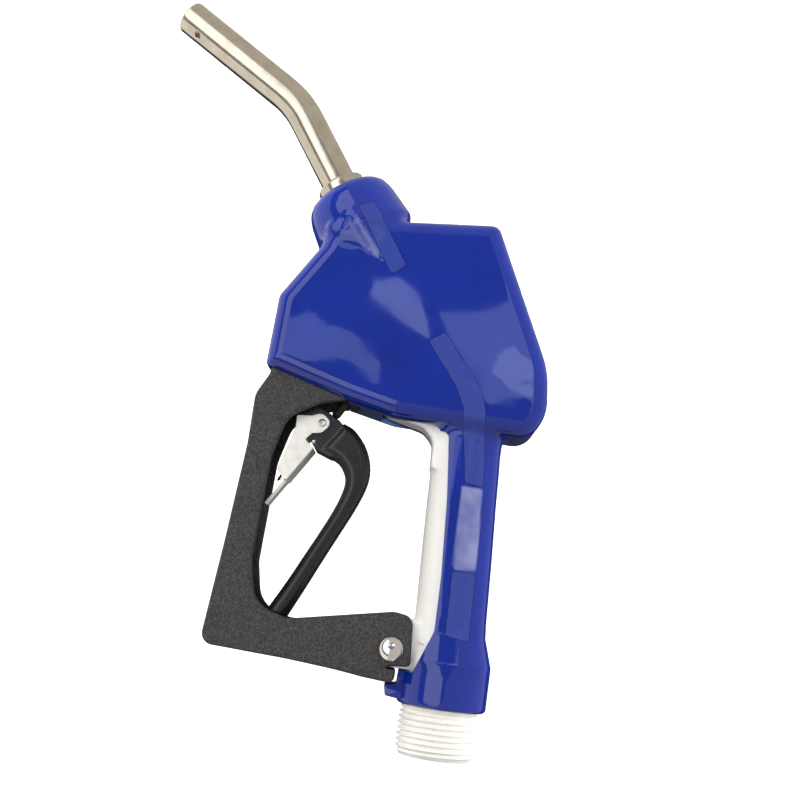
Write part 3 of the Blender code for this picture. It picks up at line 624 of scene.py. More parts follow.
vinyl, cut_edge = cover_look(), edge_look()
white, thread_white = white_look("moulded_white"), white_look("thread_white", (0.86, 0.84, 0.785), 0.45)
drawn, grained, satin, plated = spout_look(), guard_look(), lever_look(), stamped_look()
bright = plain("bright_steel", (0.82, 0.82, 0.81), 0.10, 1.0, 0.6, 0.04, 0.006)
steel = plain("turned_steel", (0.60, 0.58, 0.55), 0.3, 1.0, 0.5, 0.08, 0.01)
brass = plain("brass", (0.72, 0.52, 0.24), 0.3, 1.0, 0.7, 0.1, 0.01)
rubber = plain("seal_rubber", (0.015, 0.015, 0.016), 0.7, 0.0, 0.4, 0.2, 0.03)
wire = plain("spring_wire", (0.5, 0.5, 0.5), 0.28, 1.0, 0.5, 0.1, 0.008)
black_wire = plain("black_wire", (0.02, 0.02, 0.022), 0.4, 0.6, 0.5, 0.2, 0.01)
# Near-black painted shade for the valve stem and packing nut, which sit in the dark mouth under the casing.
shade_black = plain("painted_shade_black", (0.008, 0.008, 0.008), 0.5, 0.0, 0.5, 0.2, 0.02)
mesh_look = plain("strainer_steel", (0.55, 0.54, 0.52), 0.38, 1.0, 0.35, 0.2, 0.06)

for node, look in {
    "inlet_seal": rubber, "inlet_strainer": mesh_look, "spout_adapter": brass, "sensing_tube": steel, "spout_seal": rubber,
    "check_seat": brass, "check_poppet": white, "check_spring": wire, "packing_nut": shade_black, "valve_stem": shade_black, "seat_ring": brass,
    "poppet_seal": rubber, "valve_poppet": white, "main_spring": wire, "valve_cap": white, "cap_seal": rubber, "trip_stem": steel,
    "trip_bushing": brass, "trip_spring": wire, "detent_pin": steel, "diaphragm": rubber, "diaphragm_spring": wire, "diaphragm_cap": white,
    "valve_body": white, "cover": vinyl, "inlet_adapter": thread_white, "spout_tube": drawn, "spout_flange": drawn, "hand_guard": grained,
    "guard_rivet": bright, "latch_rack": plated, "lever": satin, "lever_pin": steel, "hold_latch": plated, "latch_pin": bright,
    "stop_pin": bright, "latch_spring": black_wire,
}.items():
    obj = frame["nodes"][node]
    obj.data.materials.clear()
    obj.data.materials.append(look)


def show(obj, body, nodes):
    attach(obj, body)
    if nodes:
        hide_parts(*nodes)
    return obj


# --------------------------------------------------------- the form's fields
casing_line = {}


def casing(x, y, z, off):
    """Pillowed casing; off shrinks it."""
    if "f" not in casing_line:
        casing_line["f"] = poly(outline(CASING, 0.0, 8))
    d = casing_line["f"](x, z)
    crown = 1.3 * (1 - np.clip(-d / 40.0, 0, 1)) ** 2
    return both(d, np.abs(y) - (CASING_Y - crown), CASING_R) + off


collar_line = poly([(-9, -3.0), (12.2, -3.0), (15.0, -3.4), (17.0, -4.6), (18.8, -6.6), (19.8, -9.0), (20.6, -12.0), (22.4, -26.0), (17.0, -36.0), (8.0, -42.0), (-9, -46.0)])


def collar(x, y, z, off):
    dx, dz = x - SPOUT_X, z - SPOUT_Z
    s = dx * S[0] + dz * S[2]
    across = dx * S[2] - dz * S[0]
    r = np.sqrt(across ** 2 + y ** 2)
    return collar_line(r, s) + off


HZ = np.array([h[0] for h in HANDLE])[::-1]
HX0 = np.array([h[1] for h in HANDLE])[::-1]
HX1 = np.array([h[2] for h in HANDLE])[::-1]
HY = np.array([h[3] for h in HANDLE])[::-1]


def handle(x, y, z, off, front, low):
    """Soft-cornered handle; front is how far its front face is moved in."""
    x0 = np.interp(z, HZ, HX0) + np.where(z > 45, front, off)
    x1 = np.interp(z, HZ, HX1) - off
    b = np.interp(z, HZ, HY) - off
    p = np.interp(z, [34.0, 38.6, 50.5], [2.0, 2.3, 2.7])
    cx, a = (x0 + x1) / 2, (x1 - x0) / 2
    u, v = np.abs(x - cx) / a, np.abs(y) / b
    f = (u ** p + v ** p + 1e-9) ** (1 / p)
    gx, gy = (u / f + 1e-6) ** (p - 1) / a, (v / f + 1e-6) ** (p - 1) / b
    d = (f - 1) / np.sqrt(gx ** 2 + gy ** 2)
    d = both(d, low - z, 1.9)
    return np.maximum(d, z - 150.0)


def ripple(x, y, z):
    """Slow unevenness left by dipping, in millimetres."""
    return (0.10 * np.sin(0.071 * x + 0.043 * z + 0.6) * np.cos(0.052 * z - 0.037 * x + 0.1 * y)
            + 0.012 * np.sin(0.19 * x - 0.13 * z + 1.7) * np.sin(0.11 * z + 0.21 * x))


def wrinkle(x, y, z):
    """Fine creases of the thin vinyl at the casing's heel."""
    near = np.exp(-((x - 15.0) / 8.0) ** 2 - ((z - 169.0) / 9.0) ** 2) + 0.6 * np.exp(-((x - 19.0) / 6.0) ** 2 - ((z - 153.0) / 5.0) ** 2)
    wave = np.sin(0.62 * z + 0.28 * x + 1.9 * np.sin(0.21 * x - 0.12 * z)) + 0.7 * np.sin(0.47 * x - 0.33 * z + 1.4 * np.sin(0.3 * z))
    return 0.024 * near * wave * (y < 0)


def capsule(x, y, z, a, b, ra, rb):
    """Tapered rod between two points."""
    a, b = np.array(a, float), np.array(b, float)
    d = b - a
    px, py, pz = x - a[0], y - a[1], z - a[2]
    t = np.clip((px * d[0] + py * d[1] + pz * d[2]) / (d @ d), 0, 1)
    return np.sqrt((px - t * d[0]) ** 2 + (py - t * d[1]) ** 2 + (pz - t * d[2]) ** 2) - (ra + (rb - ra) * t)


def facets(x, y, z):
    """Folded gusset of the moulding under the collar, on the near side."""
    a = capsule(x, y, z, (-66.5, -17.6, 223.5), (-51.0, -17.2, 206.5), 3.6, 1.8)
    b = capsule(x, y, z, (-73.0, -15.5, 217.0), (-60.0, -16.8, 212.0), 3.8, 2.6)
    return either(a, b, 1.6)


def skin(x, y, z, off=0.0, front=GAP, low=SLEEVE_Z, lump=True):
    f = either(casing(x, y, z, off), collar(x, y, z, off), 5.0)
    if lump:
        f = either(f, facets(x, y, z), 1.8)
    f = either(f, handle(x, y, z, off, front, low), 4.0)
    return f


# ------------------------------------------------------------------ the cover
FOLDS = [[(-66.2, 220.4), (-69.8, 213.0)], [(-66.2, 220.4), (-55.8, 207.6)], [(-63.9, 222.4), (-52.2, 207.2)]]
# Outline of a pale patch on the handle, painted into the vinyl's colour as a highlight.
HANDLE_SHEEN = [(-2.9, 112.4, 1.2), (5.7, 112.0, 1.2), (6.6, 95.0, 20.0), (7.2, 77.6, 1.2), (-2.4, 77.2, 1.2), (-2.8, 95.0, 20.0)]
# Gusset facets painted paler as highlights; the number after each outline is how strongly.
FACET_SHEEN = [
    ([(-65.4, 219.8, 0.4), (-63.4, 221.6, 0.4), (-52.4, 208.4, 1.0), (-51.2, 204.4, 0.8), (-55.4, 206.6, 0.8)], 0.62),
    ([(-66.2, 220.2, 0.3), (-69.6, 213.6, 0.6), (-65.0, 213.8, 1.0), (-56.6, 207.4, 0.4)], 0.22),
]
STRIPS = [
    [(-63.7, 227.2, 1.6), (-57.2, 230.1, 1.6), (-39.6, 203.6, 1.2), (-45.2, 198.7, 1.2)],
    [(-25.3, 171.3, 1.2), (-18.7, 176.2, 1.2), (-9.9, 164.7, 20.0), (-1.4, 154.6, 20.0), (2.2, 146.4, 12.0), (5.1, 123.9, 12.0), (5.7, 112.9, 1.2),
     (-2.1, 113.8, 1.2), (-3.2, 122.7, 12.0), (-6.9, 145.1, 12.0), (-11.5, 154.0, 20.0), (-19.6, 164.2, 20.0)],
    [(-2.3, 76.3, 1.2), (7.1, 76.6, 1.2), (7.8, 48.6, 1.2), (-1.8, 49.7, 1.2)],
]


def cover():
    box_low, box_high = (-98.0, -25.0, 18.0), (34.0, 25.0, 251.0)
    step = 1.0
    folds = []
    for ends in FOLDS:
        line = []
        for x, z in ends:
            q = -24.0
            for _ in range(30):
                q += 0.7 * float(skin(np.array([x]), np.array([q]), np.array([z]))[0])
            line.append((x, q + 0.75, z))
        folds.append(line)

    def outer(x, y, z):
        v = skin(x, y, z) + ripple(x, y, z) + wrinkle(x, y, z)
        for a, b in folds:
            v = either(v, capsule(x, y, z, a, b, 1.5, 1.1), 0.7)
        return v

    def inner(x, y, z):
        return skin(x, y, z, SKIN, -GAP, -30.0, False)
    shell = net("cover_skin", outer, box_low, box_high, step, [vinyl])
    hollow = net("hollow", inner, (-98.0, -25.0, 4.0), box_high, 2.0, [cut_edge])
    tab = plate("tab", [(-19.2, 33.4, 0.6), (-19.4, 27.6, 0.8), (-24.4, 27.2, 0.8), (-23.4, 22.4, 1.0), (-10.0, 20.8, 0.6), (-8.0, 33.4, 0.6)], -8.5, 8.5, [vinyl], edge=0.4)
    boolean(shell, [tab], "UNION")
    front = [(-45.0, 112.0, 1.0), (-45.0, 33.2, 1.0), (-13.4, 33.2, 1.0), (-11.4, 38.5, 4.0), (-6.6, 51.0, 6.0), (-6.8, 74.0, 30.0), (-8.6, 106.0, 30.0),
             (-10.4, 124.0, 20.0), (-11.6, 134.6, 3.0), (-34.5, 135.9, 3.0)]
    cutters = [
        hollow,
        plate("front_cut", front, -30, 30, [cut_edge], 6),
        plate("fillet_cut", [(-41.5, 125.0, 1.0), (-12.5, 125.0, 1.0), (-12.5, 145.0, 1.0), (-41.5, 145.0, 1.0)], -9.9, 9.9, [cut_edge]),
        plate("arm_cut", [(-91.9, 130.0, 1.0), (-56.2, 130.0, 1.0), (-56.2, under(-56.2, 2.6), 1.0), (-91.9, under(-91.9, 2.6), 1.0)], -GUARD_Y - 0.4, GUARD_Y + 0.4, [cut_edge]),
        rod("stem_cut", 8.6, -12.0, 6.0, VALVE, U, [cut_edge]),
        rod("spout_cut", 11.3, -8.0, 6.0, SPOUT, S, [cut_edge]),
    ]
    boolean(shell, cutters, "DIFFERENCE", 40)
    p = points_of(shell)
    best = np.full(len(p), 50.0)
    for strip in STRIPS:
        best = np.minimum(best, poly(outline(strip, 0.0, 5))(p[:, 0], p[:, 2]))
    best = np.where(p[:, 1] < -2.0, best, 50.0)
    attribute(shell, "strip", best)
    # Painted highlights: the handle patch and the gusset's lit facets are marked here to be coloured paler blue.
    painted_sheen = poly(outline(HANDLE_SHEEN, 0.0, 5))(p[:, 0], p[:, 2])
    sheen_amount = np.clip(0.5 - painted_sheen / 0.5, 0, 1)
    for shape, amount in FACET_SHEEN:
        edge = poly(outline(shape, 0.0, 5))(p[:, 0], p[:, 2])
        sheen_amount = np.maximum(sheen_amount, amount * np.clip(0.5 - edge / 0.9, 0, 1))
    attribute(shell, "painted_sheen", np.where(p[:, 1] < -2.0, sheen_amount, 0.0))
    show(shell, "nozzle", ["cover"])


# ------------------------------------------------------------ the white moulding
FILLET = [(-12.0, 118.0, 1.0), (-17.2, 118.5, 1.0), (-17.6, 130.5, 9.0), (-22.5, 135.4, 6.0), (-39.5, 139.4, 3.0), (-39.0, 148.0, 2.0), (-8.0, 150.0, 2.0)]
LUG = [(-8.0, 33.9, 2.0), (-8.0, 53.4, 2.0), (-15.0, 54.4, 4.0), (-28.0, 54.2, 7.0), (-34.0, 46.0, 7.0), (-33.0, 33.9, 2.0)]


def moulding():
    fillet, lug = poly(outline(FILLET, 0.0, 8)), poly(outline(LUG, 0.0, 8))
    off = SKIN + GAP

    def f(x, y, z):
        v = either(casing(x, y, z, off), collar(x, y, z, off), 3.0)
        v = either(v, handle(x, y, z, off, 0.0, SLEEVE_Z + GAP), 3.0)
        v = either(v, both(fillet(x, z), np.abs(y) - 9.6, 1.2), 2.0)
        return either(v, both(lug(x, z), np.abs(y) - 9.8, 1.2), 1.2)
    body = net("moulding", f, (-96.0, -22.0, 18.0), (32.0, 22.0, 248.0), 1.25, [white])
    a, b = Vector((-2.2, 0, 124.0)), Vector((-28.0, 0, 186.0))
    cutters = [
        rod("socket", 13.3, 10, 40.0, (0, 0, 0), (0, 0, 1), [white]),
        turned("bore", [(0, 30), (9.0, 30), (9.0, 128), (0, 134)], (0, 0, 0), (-0.02, 0, 1), [white]),
        rod("passage", 7.2, -4.0, (b - a).length, tuple(a), tuple(b - a), [white]),
        turned("chamber", [(0, -14), (7.0, -14), (7.0, 0.6), (5.4, 0.6), (5.4, 9.5), (9.0, 12.0), (9.0, 31.0), (12.0, 31.0), (12.0, 68.0), (15.3, 68.0), (15.3, 116), (0, 116)], VALVE, U, [white]),
        turned("collar_bore", [(0, 6), (13.3, 6), (13.3, -42.0), (0, -46.0)], SPOUT, S, [white]),
        turned("trip_bore", [(0, -20), (5.9, -20), (5.9, 24.0), (4.0, 25.5), (4.0, 45.5), (0, 47.0)], TRIP, U, [white]),
        turned("detent_bore", [(0, 0), (2.6, 0), (2.6, 10.5), (10.7, 10.5), (10.7, 45.0), (0, 45.0)], DETENT, LEFT, [white]),
        rod("rivet_hole", 4.3, -30, 30, (RIVET_X, 0, RIVET_Z), (0, 1, 0), [white]),
        plate("tongue_slot", [(-90.9, 145.0, 0.4), (-87.4, 145.0, 0.4), (-87.4, 159.3, 0.6), (-90.9, 159.3, 0.6)], -6.3, 6.3, [white]),
    ]
    for side in (-1, 1):
        p, q = at(-8.0, 18.0), at(-26.0, 58.0)
        run = (q[0] - p[0], 0, q[1] - p[1])
        cutters.append(rod("way", 3.8, 0.0, math.hypot(run[0], run[2]), (p[0], side * 11.5, p[1]), run, [white], 24))
        p = at(0.0, 20.0)
        cutters.append(rod("cross", 3.4, 0.0, 13.0, (p[0] - 6.0, 0.0, p[1]), (-0.12, side, 0.0), [white], 24))
    boolean(body, cutters, "DIFFERENCE", 40)
    x, y, z = points_of(body).T
    # Painted shade: the moulding's lower left, inside the mouth under the casing, is marked to be coloured near black.
    attribute(body, "painted_mouth_shade", ((x < -40.5 - 0.35 * (y + 10)) & (z < 152) & (z > 128)).astype(float))
    attribute(body, "lap", ((x < -15.5) & (x > -62) & (y > 2.5) & (z > 128) & (z < 152)).astype(float))
    show(body, "nozzle", ["valve_body"])


# ------------------------------------------------------------------ the inlet
def inlet():
    n, per = ((96, 14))
    low, high = 0.9, THREAD_LEN - 0.7
    root = THREAD_R - THREAD_DEPTH
    count = int(round((high - low) / THREAD_PITCH * per))
    t = 2 * np.pi * np.arange(n) / n

    def ring(r, z):
        r = np.broadcast_to(r, t.shape)
        return np.stack([r * np.cos(t), r * np.sin(t), np.full(n, float(z))], axis=1)
    rows = [ring(BORE_R, 35.0), ring(BORE_R, 1.2), ring(BORE_R + 0.3, 0.5), ring(BORE_R + 1.0, 0.0), ring(root - 0.6, 0.0), ring(root - 0.2, 0.2), ring(root, low)]
    for i in range(1, count):
        z = low + (high - low) * i / count
        phase = ((z - low) / THREAD_PITCH - t / (2 * np.pi)) % 1.0
        lift = 1.0 - np.abs(2.0 * phase - 1.0)
        lift = np.clip((lift - 0.16) / 0.68, 0, 1)
        lift = lift * lift * (3 - 2 * lift) * 0.35 + lift * 0.65
        fade = min(1.0, (z - low) / 1.6, (high - z) / 0.9)
        rows.append(ring(root + THREAD_DEPTH * lift * fade, z))
    rows += [ring(root, high), ring(root, THREAD_LEN - 0.2), ring(15.4, THREAD_LEN), ring(15.7, THREAD_LEN), ring(16.0, THREAD_LEN + 0.3), ring(16.0, SLEEVE_Z), ring(13.0, SLEEVE_Z), ring(13.0, 35.0)]
    show(loops("inlet_thread", rows, [thread_white], closed=True, smooth=50), "nozzle", ["inlet_adapter"])


# ------------------------------------------------------------------ the spout
UP = np.array(S)
INNER = np.array((-S[2], 0.0, S[0]))
BASE = np.array(SPOUT)
BEND_START = BASE + UP * SPOUT_STRAIGHT_1
BEND_CENTRE = BEND_START + INNER * SPOUT_BEND_R
LAST = UP * math.cos(SPOUT_BEND) + INNER * math.sin(SPOUT_BEND)
LAST_IN = INNER * math.cos(SPOUT_BEND) - UP * math.sin(SPOUT_BEND)
ARC = SPOUT_BEND_R * SPOUT_BEND
TOTAL = SPOUT_STRAIGHT_1 + ARC + SPOUT_STRAIGHT_2


def along(s):
    """Point, direction and inner side of the spout's centre line at length s."""
    if s <= SPOUT_STRAIGHT_1:
        return BASE + UP * s, UP, INNER
    t = (s - SPOUT_STRAIGHT_1) / SPOUT_BEND_R
    if t <= SPOUT_BEND:
        p = BEND_CENTRE - INNER * SPOUT_BEND_R * math.cos(t) + UP * SPOUT_BEND_R * math.sin(t)
        return p, UP * math.cos(t) + INNER * math.sin(t), INNER * math.cos(t) - UP * math.sin(t)
    p = BEND_CENTRE - INNER * SPOUT_BEND_R * math.cos(SPOUT_BEND) + UP * SPOUT_BEND_R * math.sin(SPOUT_BEND)
    return p + LAST * (s - SPOUT_STRAIGHT_1 - ARC), LAST, LAST_IN


def spout():
    n = 96
    r0, r1 = SPOUT_R - SPOUT_WALL, SPOUT_R
    stations = [(-SPOUT_INSIDE, r1)]
    s = 0.0
    while s < TOTAL - 1.4:
        stations.append((s, r1))
        s += 2.0
    for k in range(6):
        a = math.pi / 2 * k / 5
        stations.append((TOTAL - 0.7 + 0.7 * math.sin(a), r1 - 0.7 * (1 - math.cos(a))))
    stations += [(TOTAL - 0.05, r0 + 0.12), (TOTAL - 0.3, r0), (TOTAL - 3.0, r0)]
    s = TOTAL - 6.0
    while s > 0:
        stations.append((s, r0))
        s -= 4.0
    stations.append((-SPOUT_INSIDE, r0))
    side = np.array((0.0, 1.0, 0.0))
    rows = []
    for s, r in stations:
        p, _, inner = along(s)
        rows.append([p + (inner * math.cos(2 * math.pi * k / n) + side * math.sin(2 * math.pi * k / n)) * r for k in range(n)])
    pipe = loops("spout_pipe", rows, [drawn], closed=True, smooth=40)
    hole_dir = LAST_IN * 0.8 + np.array((0, -0.6, 0))
    p = along(TOTAL - 11.0)[0]
    boolean(pipe, [turned("sense_hole", [(0, 4.5), (1.5, 4.5), (1.5, 7.6), (2.0, 8.1), (2.0, 12.0), (0, 12.0)], tuple(p), tuple(hole_dir), [drawn], 32)], "DIFFERENCE", 40)
    pts = points_of(pipe)
    rel = pts - BASE
    s1 = rel @ UP
    arm = pts - BEND_CENTRE
    ang = np.arctan2(arm @ UP, -(arm @ INNER))
    end = along(SPOUT_STRAIGHT_1 + ARC)[0]
    s3 = (pts - end) @ LAST
    run = np.where(s1 <= SPOUT_STRAIGHT_1, s1, np.where(s3 > 0, SPOUT_STRAIGHT_1 + ARC + s3, SPOUT_STRAIGHT_1 + np.clip(ang, 0, SPOUT_BEND) * SPOUT_BEND_R))
    inn = np.stack([along(float(v))[2] for v in run])
    cen = np.stack([along(float(v))[0] for v in run])
    d = pts - cen
    attribute(pipe, "along", run)
    attribute(pipe, "around", np.abs(np.arctan2(d[:, 1], (d * inn).sum(1))) * SPOUT_R)
    show(pipe, "nozzle", ["spout_tube"])
    ring = turned("spout_ring", soften([(8.2, -5.3), (10.8, -5.3), (10.8, 1.5), (9.9, 2.4), (8.2, 2.4)], 0.45), SPOUT, S, [drawn], 96)
    pts = points_of(ring) - BASE
    attribute(ring, "along", pts @ UP * 6)
    attribute(ring, "around", np.arctan2(pts[:, 1], pts @ INNER) * 1.0)
    show(ring, "nozzle", ["spout_flange"])


# ------------------------------------------------------------------ the guard
GUARD = [
    (-90.8, under(-90.8, 2.0), 0.8), (-56.6, under(-56.6, 2.0), 0.8), (-56.8, 142.0, 0.6), (-67.0, 139.6, 8.0), (-80.6, 132.0, 12.0), (-85.0, 114.0, 20.0),
    (-86.2, 70.0, 14.0), (-82.5, 52.0, 12.0), (-68.0, 47.6, 12.0), (-24.0, 56.6, 9.0), (-15.9, 55.4, 4.5),
    (-14.5, 35.2, 1.8), (-22.0, 34.6, 3.0), (-36.0, 29.3, 4.0), (-65.3, 31.4, 20.0), (-102.3, 32.9, 5.0), (-98.9, 76.0, 60.0),
    (-96.2, 118.0, 40.0), (-96.4, 139.6, 10.0), (-91.8, 148.8, 6.0),
]
WEB = [(-34.0, 28.6, 3.0), (-23.0, 27.8, 3.0), (-20.4, 29.0, 1.6), (-20.2, 33.2, 1.6), (-36.0, 34.0, 1.0), (-52.0, 34.0, 1.0), (-52.0, 31.0, 1.0)]
TONGUE = [(-90.6, 148.0, 0.3), (-87.7, 148.0, 0.3), (-87.7, 159.0, 0.8), (-90.6, 159.0, 0.8)]
CHANNEL = [
    (-60.0, 100.0, 1.0), (-60.0, 170.0, 1.0), (-86.6, 170.0, 0.4), (-86.6, 149.6, 0.4), (-89.6, 149.4, 0.8), (-92.7, 140.0, 8.0), (-92.3, 118.0, 30.0),
    (-94.0, 76.0, 40.0), (-96.8, 37.6, 3.0), (-65.0, 35.8, 20.0), (-38.0, 32.9, 6.0), (-12.0, 31.6, 1.0), (-10.0, 62.0, 1.0), (-40.0, 62.0, 1.0),
]
END_SLOT = [(-62.0, 120.0, 1.0), (-50.0, 120.0, 1.0), (-50.0, 170.0, 1.0), (-62.0, 170.0, 1.0)]


def guard():
    shape, web, tongue = (poly(outline(c, 0.0, 6)) for c in (GUARD, WEB, TONGUE))
    channel, slot = poly(outline(CHANNEL, 0.0, 5)), poly(outline(END_SLOT, 0.0, 3))

    def f(x, y, z):
        a = np.abs(y)
        v = both(shape(x, z), a - GUARD_Y, 1.3)
        v = either(v, both(web(x, z), a - GUARD_Y + 0.6, 1.0), 0.6)
        hollow = np.minimum(channel(x, z), slot(x, z))
        hollow = both(hollow, a - GUARD_Y + CHEEK, 0.8)
        v = without(v, hollow, 0.5)
        v = np.minimum(v, both(tongue(x, z), a - 6.0, 0.4))
        hole = np.hypot(x - RIVET_X, z - RIVET_Z) - 4.3
        return without(v, hole, 0.3)
    piece = net("guard_moulding", f, (-103.0, -15.0, 25.0), (-12.0, 15.0, 161.0), 0.7, [grained], 3, 45)
    show(piece, "nozzle", ["hand_guard"])
    profile = [(0, -17.0)]
    for k in range(1, 9):
        a = math.pi / 2 * k / 8
        profile.append((RIVET_R * math.sin(a), -13.85 - 3.15 * math.cos(a)))
    profile += [(RIVET_R, -13.6), (4.0, -13.6)]
    mirror = [(r, -s) for r, s in reversed(profile)]
    show(turned("rivet_heads", profile + mirror, (RIVET_X, 0, RIVET_Z), (0, 1, 0), [bright], 64, 40), "nozzle", ["guard_rivet"])
    rack = [(-93.1, 84.0, 0.3), (-92.3, 110.0, 0.3), (-91.4, 110.0, 0.3)]
    for k in range(5):
        z = 107.5 - 4.6 * k
        rack += [(-91.3, z + 1.6, 0.2), (-91.0, z, 0.2), (-91.6, z - 0.2, 0.2)]
    rack.append((-91.6, 84.0, 0.3))
    show(plate("rack_strip", rack, -6.0, 6.0, [plated], 3, 0.15), "nozzle", ["latch_rack"])


# ------------------------------------------------------------------ the lever
def flow(points, n=6):
    """Smooth curve through points."""
    p = [np.array(q, float) for q in points]
    p = [2 * p[0] - p[1]] + p + [2 * p[-1] - p[-2]]
    out = []
    for k in range(1, len(p) - 2):
        for i in range(n):
            t = i / n
            out.append(0.5 * (2 * p[k] + (p[k + 1] - p[k - 1]) * t + (2 * p[k - 1] - 5 * p[k] + 4 * p[k + 1] - p[k + 2]) * t * t
                              + (3 * p[k] - p[k - 1] - 3 * p[k + 1] + p[k + 2]) * t ** 3))
    out.append(p[-2])
    return out


LEVER_OUTER = [(-57.0, 133.4), (-52.0, 131.0), (-46.9, 125.5), (-43.9, 119.2), (-42.8, 112.7), (-43.7, 106.4), (-46.8, 97.6), (-51.6, 86.9), (-57.4, 74.2), (-63.2, 61.1), (-70.6, 45.0)]
LEVER_INNER = [(-79.2, 47.6), (-71.3, 62.8), (-65.6, 74.8), (-60.0, 86.6), (-55.8, 96.4), (-53.6, 103.4), (-53.1, 108.4), (-54.3, 112.2), (-57.0, 115.6), (-61.0, 117.8), (-66.4, 119.8)]
HEAD = [
    (PIVOT[0] - 2.0, PIVOT[2] + 4.0, 0.6), (PIVOT[0] + 2.8, PIVOT[2] + 3.8, 1.0), (-77.0, 143.4, 3.0), at(-4.0, -9.5) + (3.0,), at(3.5, -9.5) + (1.0,), (-53.0, 128.0, 1.0),
    (-53.6, 118.0, 2.0), (-61.0, 117.6, 2.0), (-67.8, 120.1, 1.4), (-72.4, 126.4, 3.0), (PIVOT[0] - 3.6, PIVOT[2] - 3.2, 1.0),
]
FORK = [(-98.0, 126.0, 1.0), (-82.0, 132.0, 2.0), (-76.2, 138.4, 2.0), (-76.2, 156.0, 2.0), (-98.0, 156.0, 1.0)]


def lever():
    bar = poly(flow(LEVER_OUTER) + flow(LEVER_INNER))
    head, fork = (poly(outline(c, 0.0, 8)) for c in (HEAD, FORK))

    def hole(x, z, px, pz, r):
        return np.hypot(x - px, z - pz) - r

    def f(x, y, z):
        a = np.abs(y)
        line = bar(x, z)
        v = both(line + 0.15, a - 8.2, 4.4)
        rib = both(line, a - 0.8, 0.35)
        v = either(v, rib, 0.4)
        h = both(head(x, z), a - 6.8, 0.5)
        h = either(h, both(hole(x, z, PIVOT[0], PIVOT[2], 4.8), a - 6.75, 0.5), 0.8)
        v = either(v, h, 0.7)
        v = without(v, both(fork(x, z), a - 3.95, 0.4), 0.3)
        for px, pz, r in ((PIVOT[0], PIVOT[2], 2.1), (LATCH_X, LATCH_Z, 1.75), (STOP_X, STOP_Z, 1.15)):
            v = without(v, hole(x, z, px, pz, r), 0.15)
        return v
    piece = net("lever_moulding", f, (-91.0, -10.0, 42.0), (-40.0, 10.0, 152.0), 0.5, [satin], 3, 50)
    show(piece, "lever", ["lever"])
    prof = soften([(0, -8.6), (2.8, -8.6), (2.8, -7.2), (1.8, -7.2), (1.8, 7.2), (2.8, 7.2), (2.8, 8.6), (0, 8.6)], 0.4)
    show(turned("lever_pin_heads", prof, PIVOT, (0, 1, 0), [steel], 40), "trip", ["lever_pin"])


# ------------------------------------------------------------------ the latch
PLATE = [
    (-66.9, 136.0, 4.0), (-61.9, 132.2, 4.0), (-65.8, 127.2, 4.0), (-69.8, 126.6, 1.0), (-72.6, 123.5, 1.0), (-69.3, 121.2, 0.6), (-68.4, 120.4, 0.5),
    (-84.9, 93.4, 0.6), (-86.4, 95.4, 0.6), (-83.4, 100.2, 0.6), (-81.2, 104.4, 0.6), (-79.8, 106.2, 0.6), (-82.4, 109.0, 1.2), (-77.4, 128.0, 3.0), (-77.6, 133.6, 0.8), (-71.0, 134.2, 2.0),
]
INSIDE = [(-58.0, 140.0, 1.0), (-58.0, 119.0, 0.5), (-68.6, 122.7, 0.4), (-69.9, 120.6, 0.4), (-85.9, 94.4, 0.3), (-92.0, 92.0, 1.0), (-92.0, 140.0, 1.0)]


def latch():
    piece = plate("latch_plate", PLATE, -8.4, 8.4, [plated], 6, 0.25)
    end = [(-95.0, 86.0, 0.5), (-70.0, 86.0, 0.5), (-70.0, 105.2, 0.5), (-95.0, 105.2, 0.5)]
    boolean(piece, [plate("finger_near", end, -12.0, -4.4, [plated], 3), plate("finger_far", end, 4.4, 12.0, [plated], 3)])
    boolean(piece, [plate("inside", INSIDE, -7.15, 7.15, [plated], 3), rod("hole", 1.75, -12, 12, (LATCH_X, 0, LATCH_Z), (0, 1, 0), [plated], 32)])
    show(piece, "latch", ["hold_latch"])
    prof = [(0, -9.1), (0.62, -9.1), (0.8, -9.5), (1.15, -9.52), (1.5, -9.3), (1.62, -9.0), (1.62, -8.4), (1.5, -8.4)]
    prof += [(r, -s) for r, s in reversed(prof)]
    show(turned("latch_pin_heads", prof, (LATCH_X, 0, LATCH_Z), (0, 1, 0), [bright], 40), "lever", ["latch_pin"])
    prof = soften([(0, -7.0), (0.85, -7.0), (0.85, 7.0), (0, 7.0)], 0.2)
    show(turned("stop_pin_round", prof, (STOP_X, 0, STOP_Z), (0, 1, 0), [bright], 24), "lever", ["stop_pin"])
    pts = [(-71.6, 2.0, 124.4), (-73.4, 2.0, 121.4), (-76.4, 2.0, 115.4), (-79.4, 2.0, 109.6), (-81.6, 2.0, 106.4), (-82.6, 0.0, 104.6), (-81.6, -2.0, 106.4), (-80.2, -2.0, 108.8)]
    curve = bpy.data.curves.new("hook_wire", "CURVE")
    curve.dimensions = "3D"
    curve.bevel_depth = 0.45 * MM
    curve.bevel_resolution = 4
    curve.use_fill_caps = True
    curve.materials.append(black_wire)
    sp = curve.splines.new("NURBS")
    sp.points.add(len(pts) - 1)
    for q, p in zip(sp.points, pts):
        q.co = (p[0] * MM, p[1] * MM, p[2] * MM, 1)
    sp.use_endpoint_u = True
    sp.order_u = 4
    sp.resolution_u = 6
    obj = bpy.data.objects.new("hook_wire", curve)
    bpy.context.scene.collection.objects.link(obj)
    show(obj, "latch", ["latch_spring"])


cover()
moulding()
inlet()
spout()
guard()
lever()
latch()


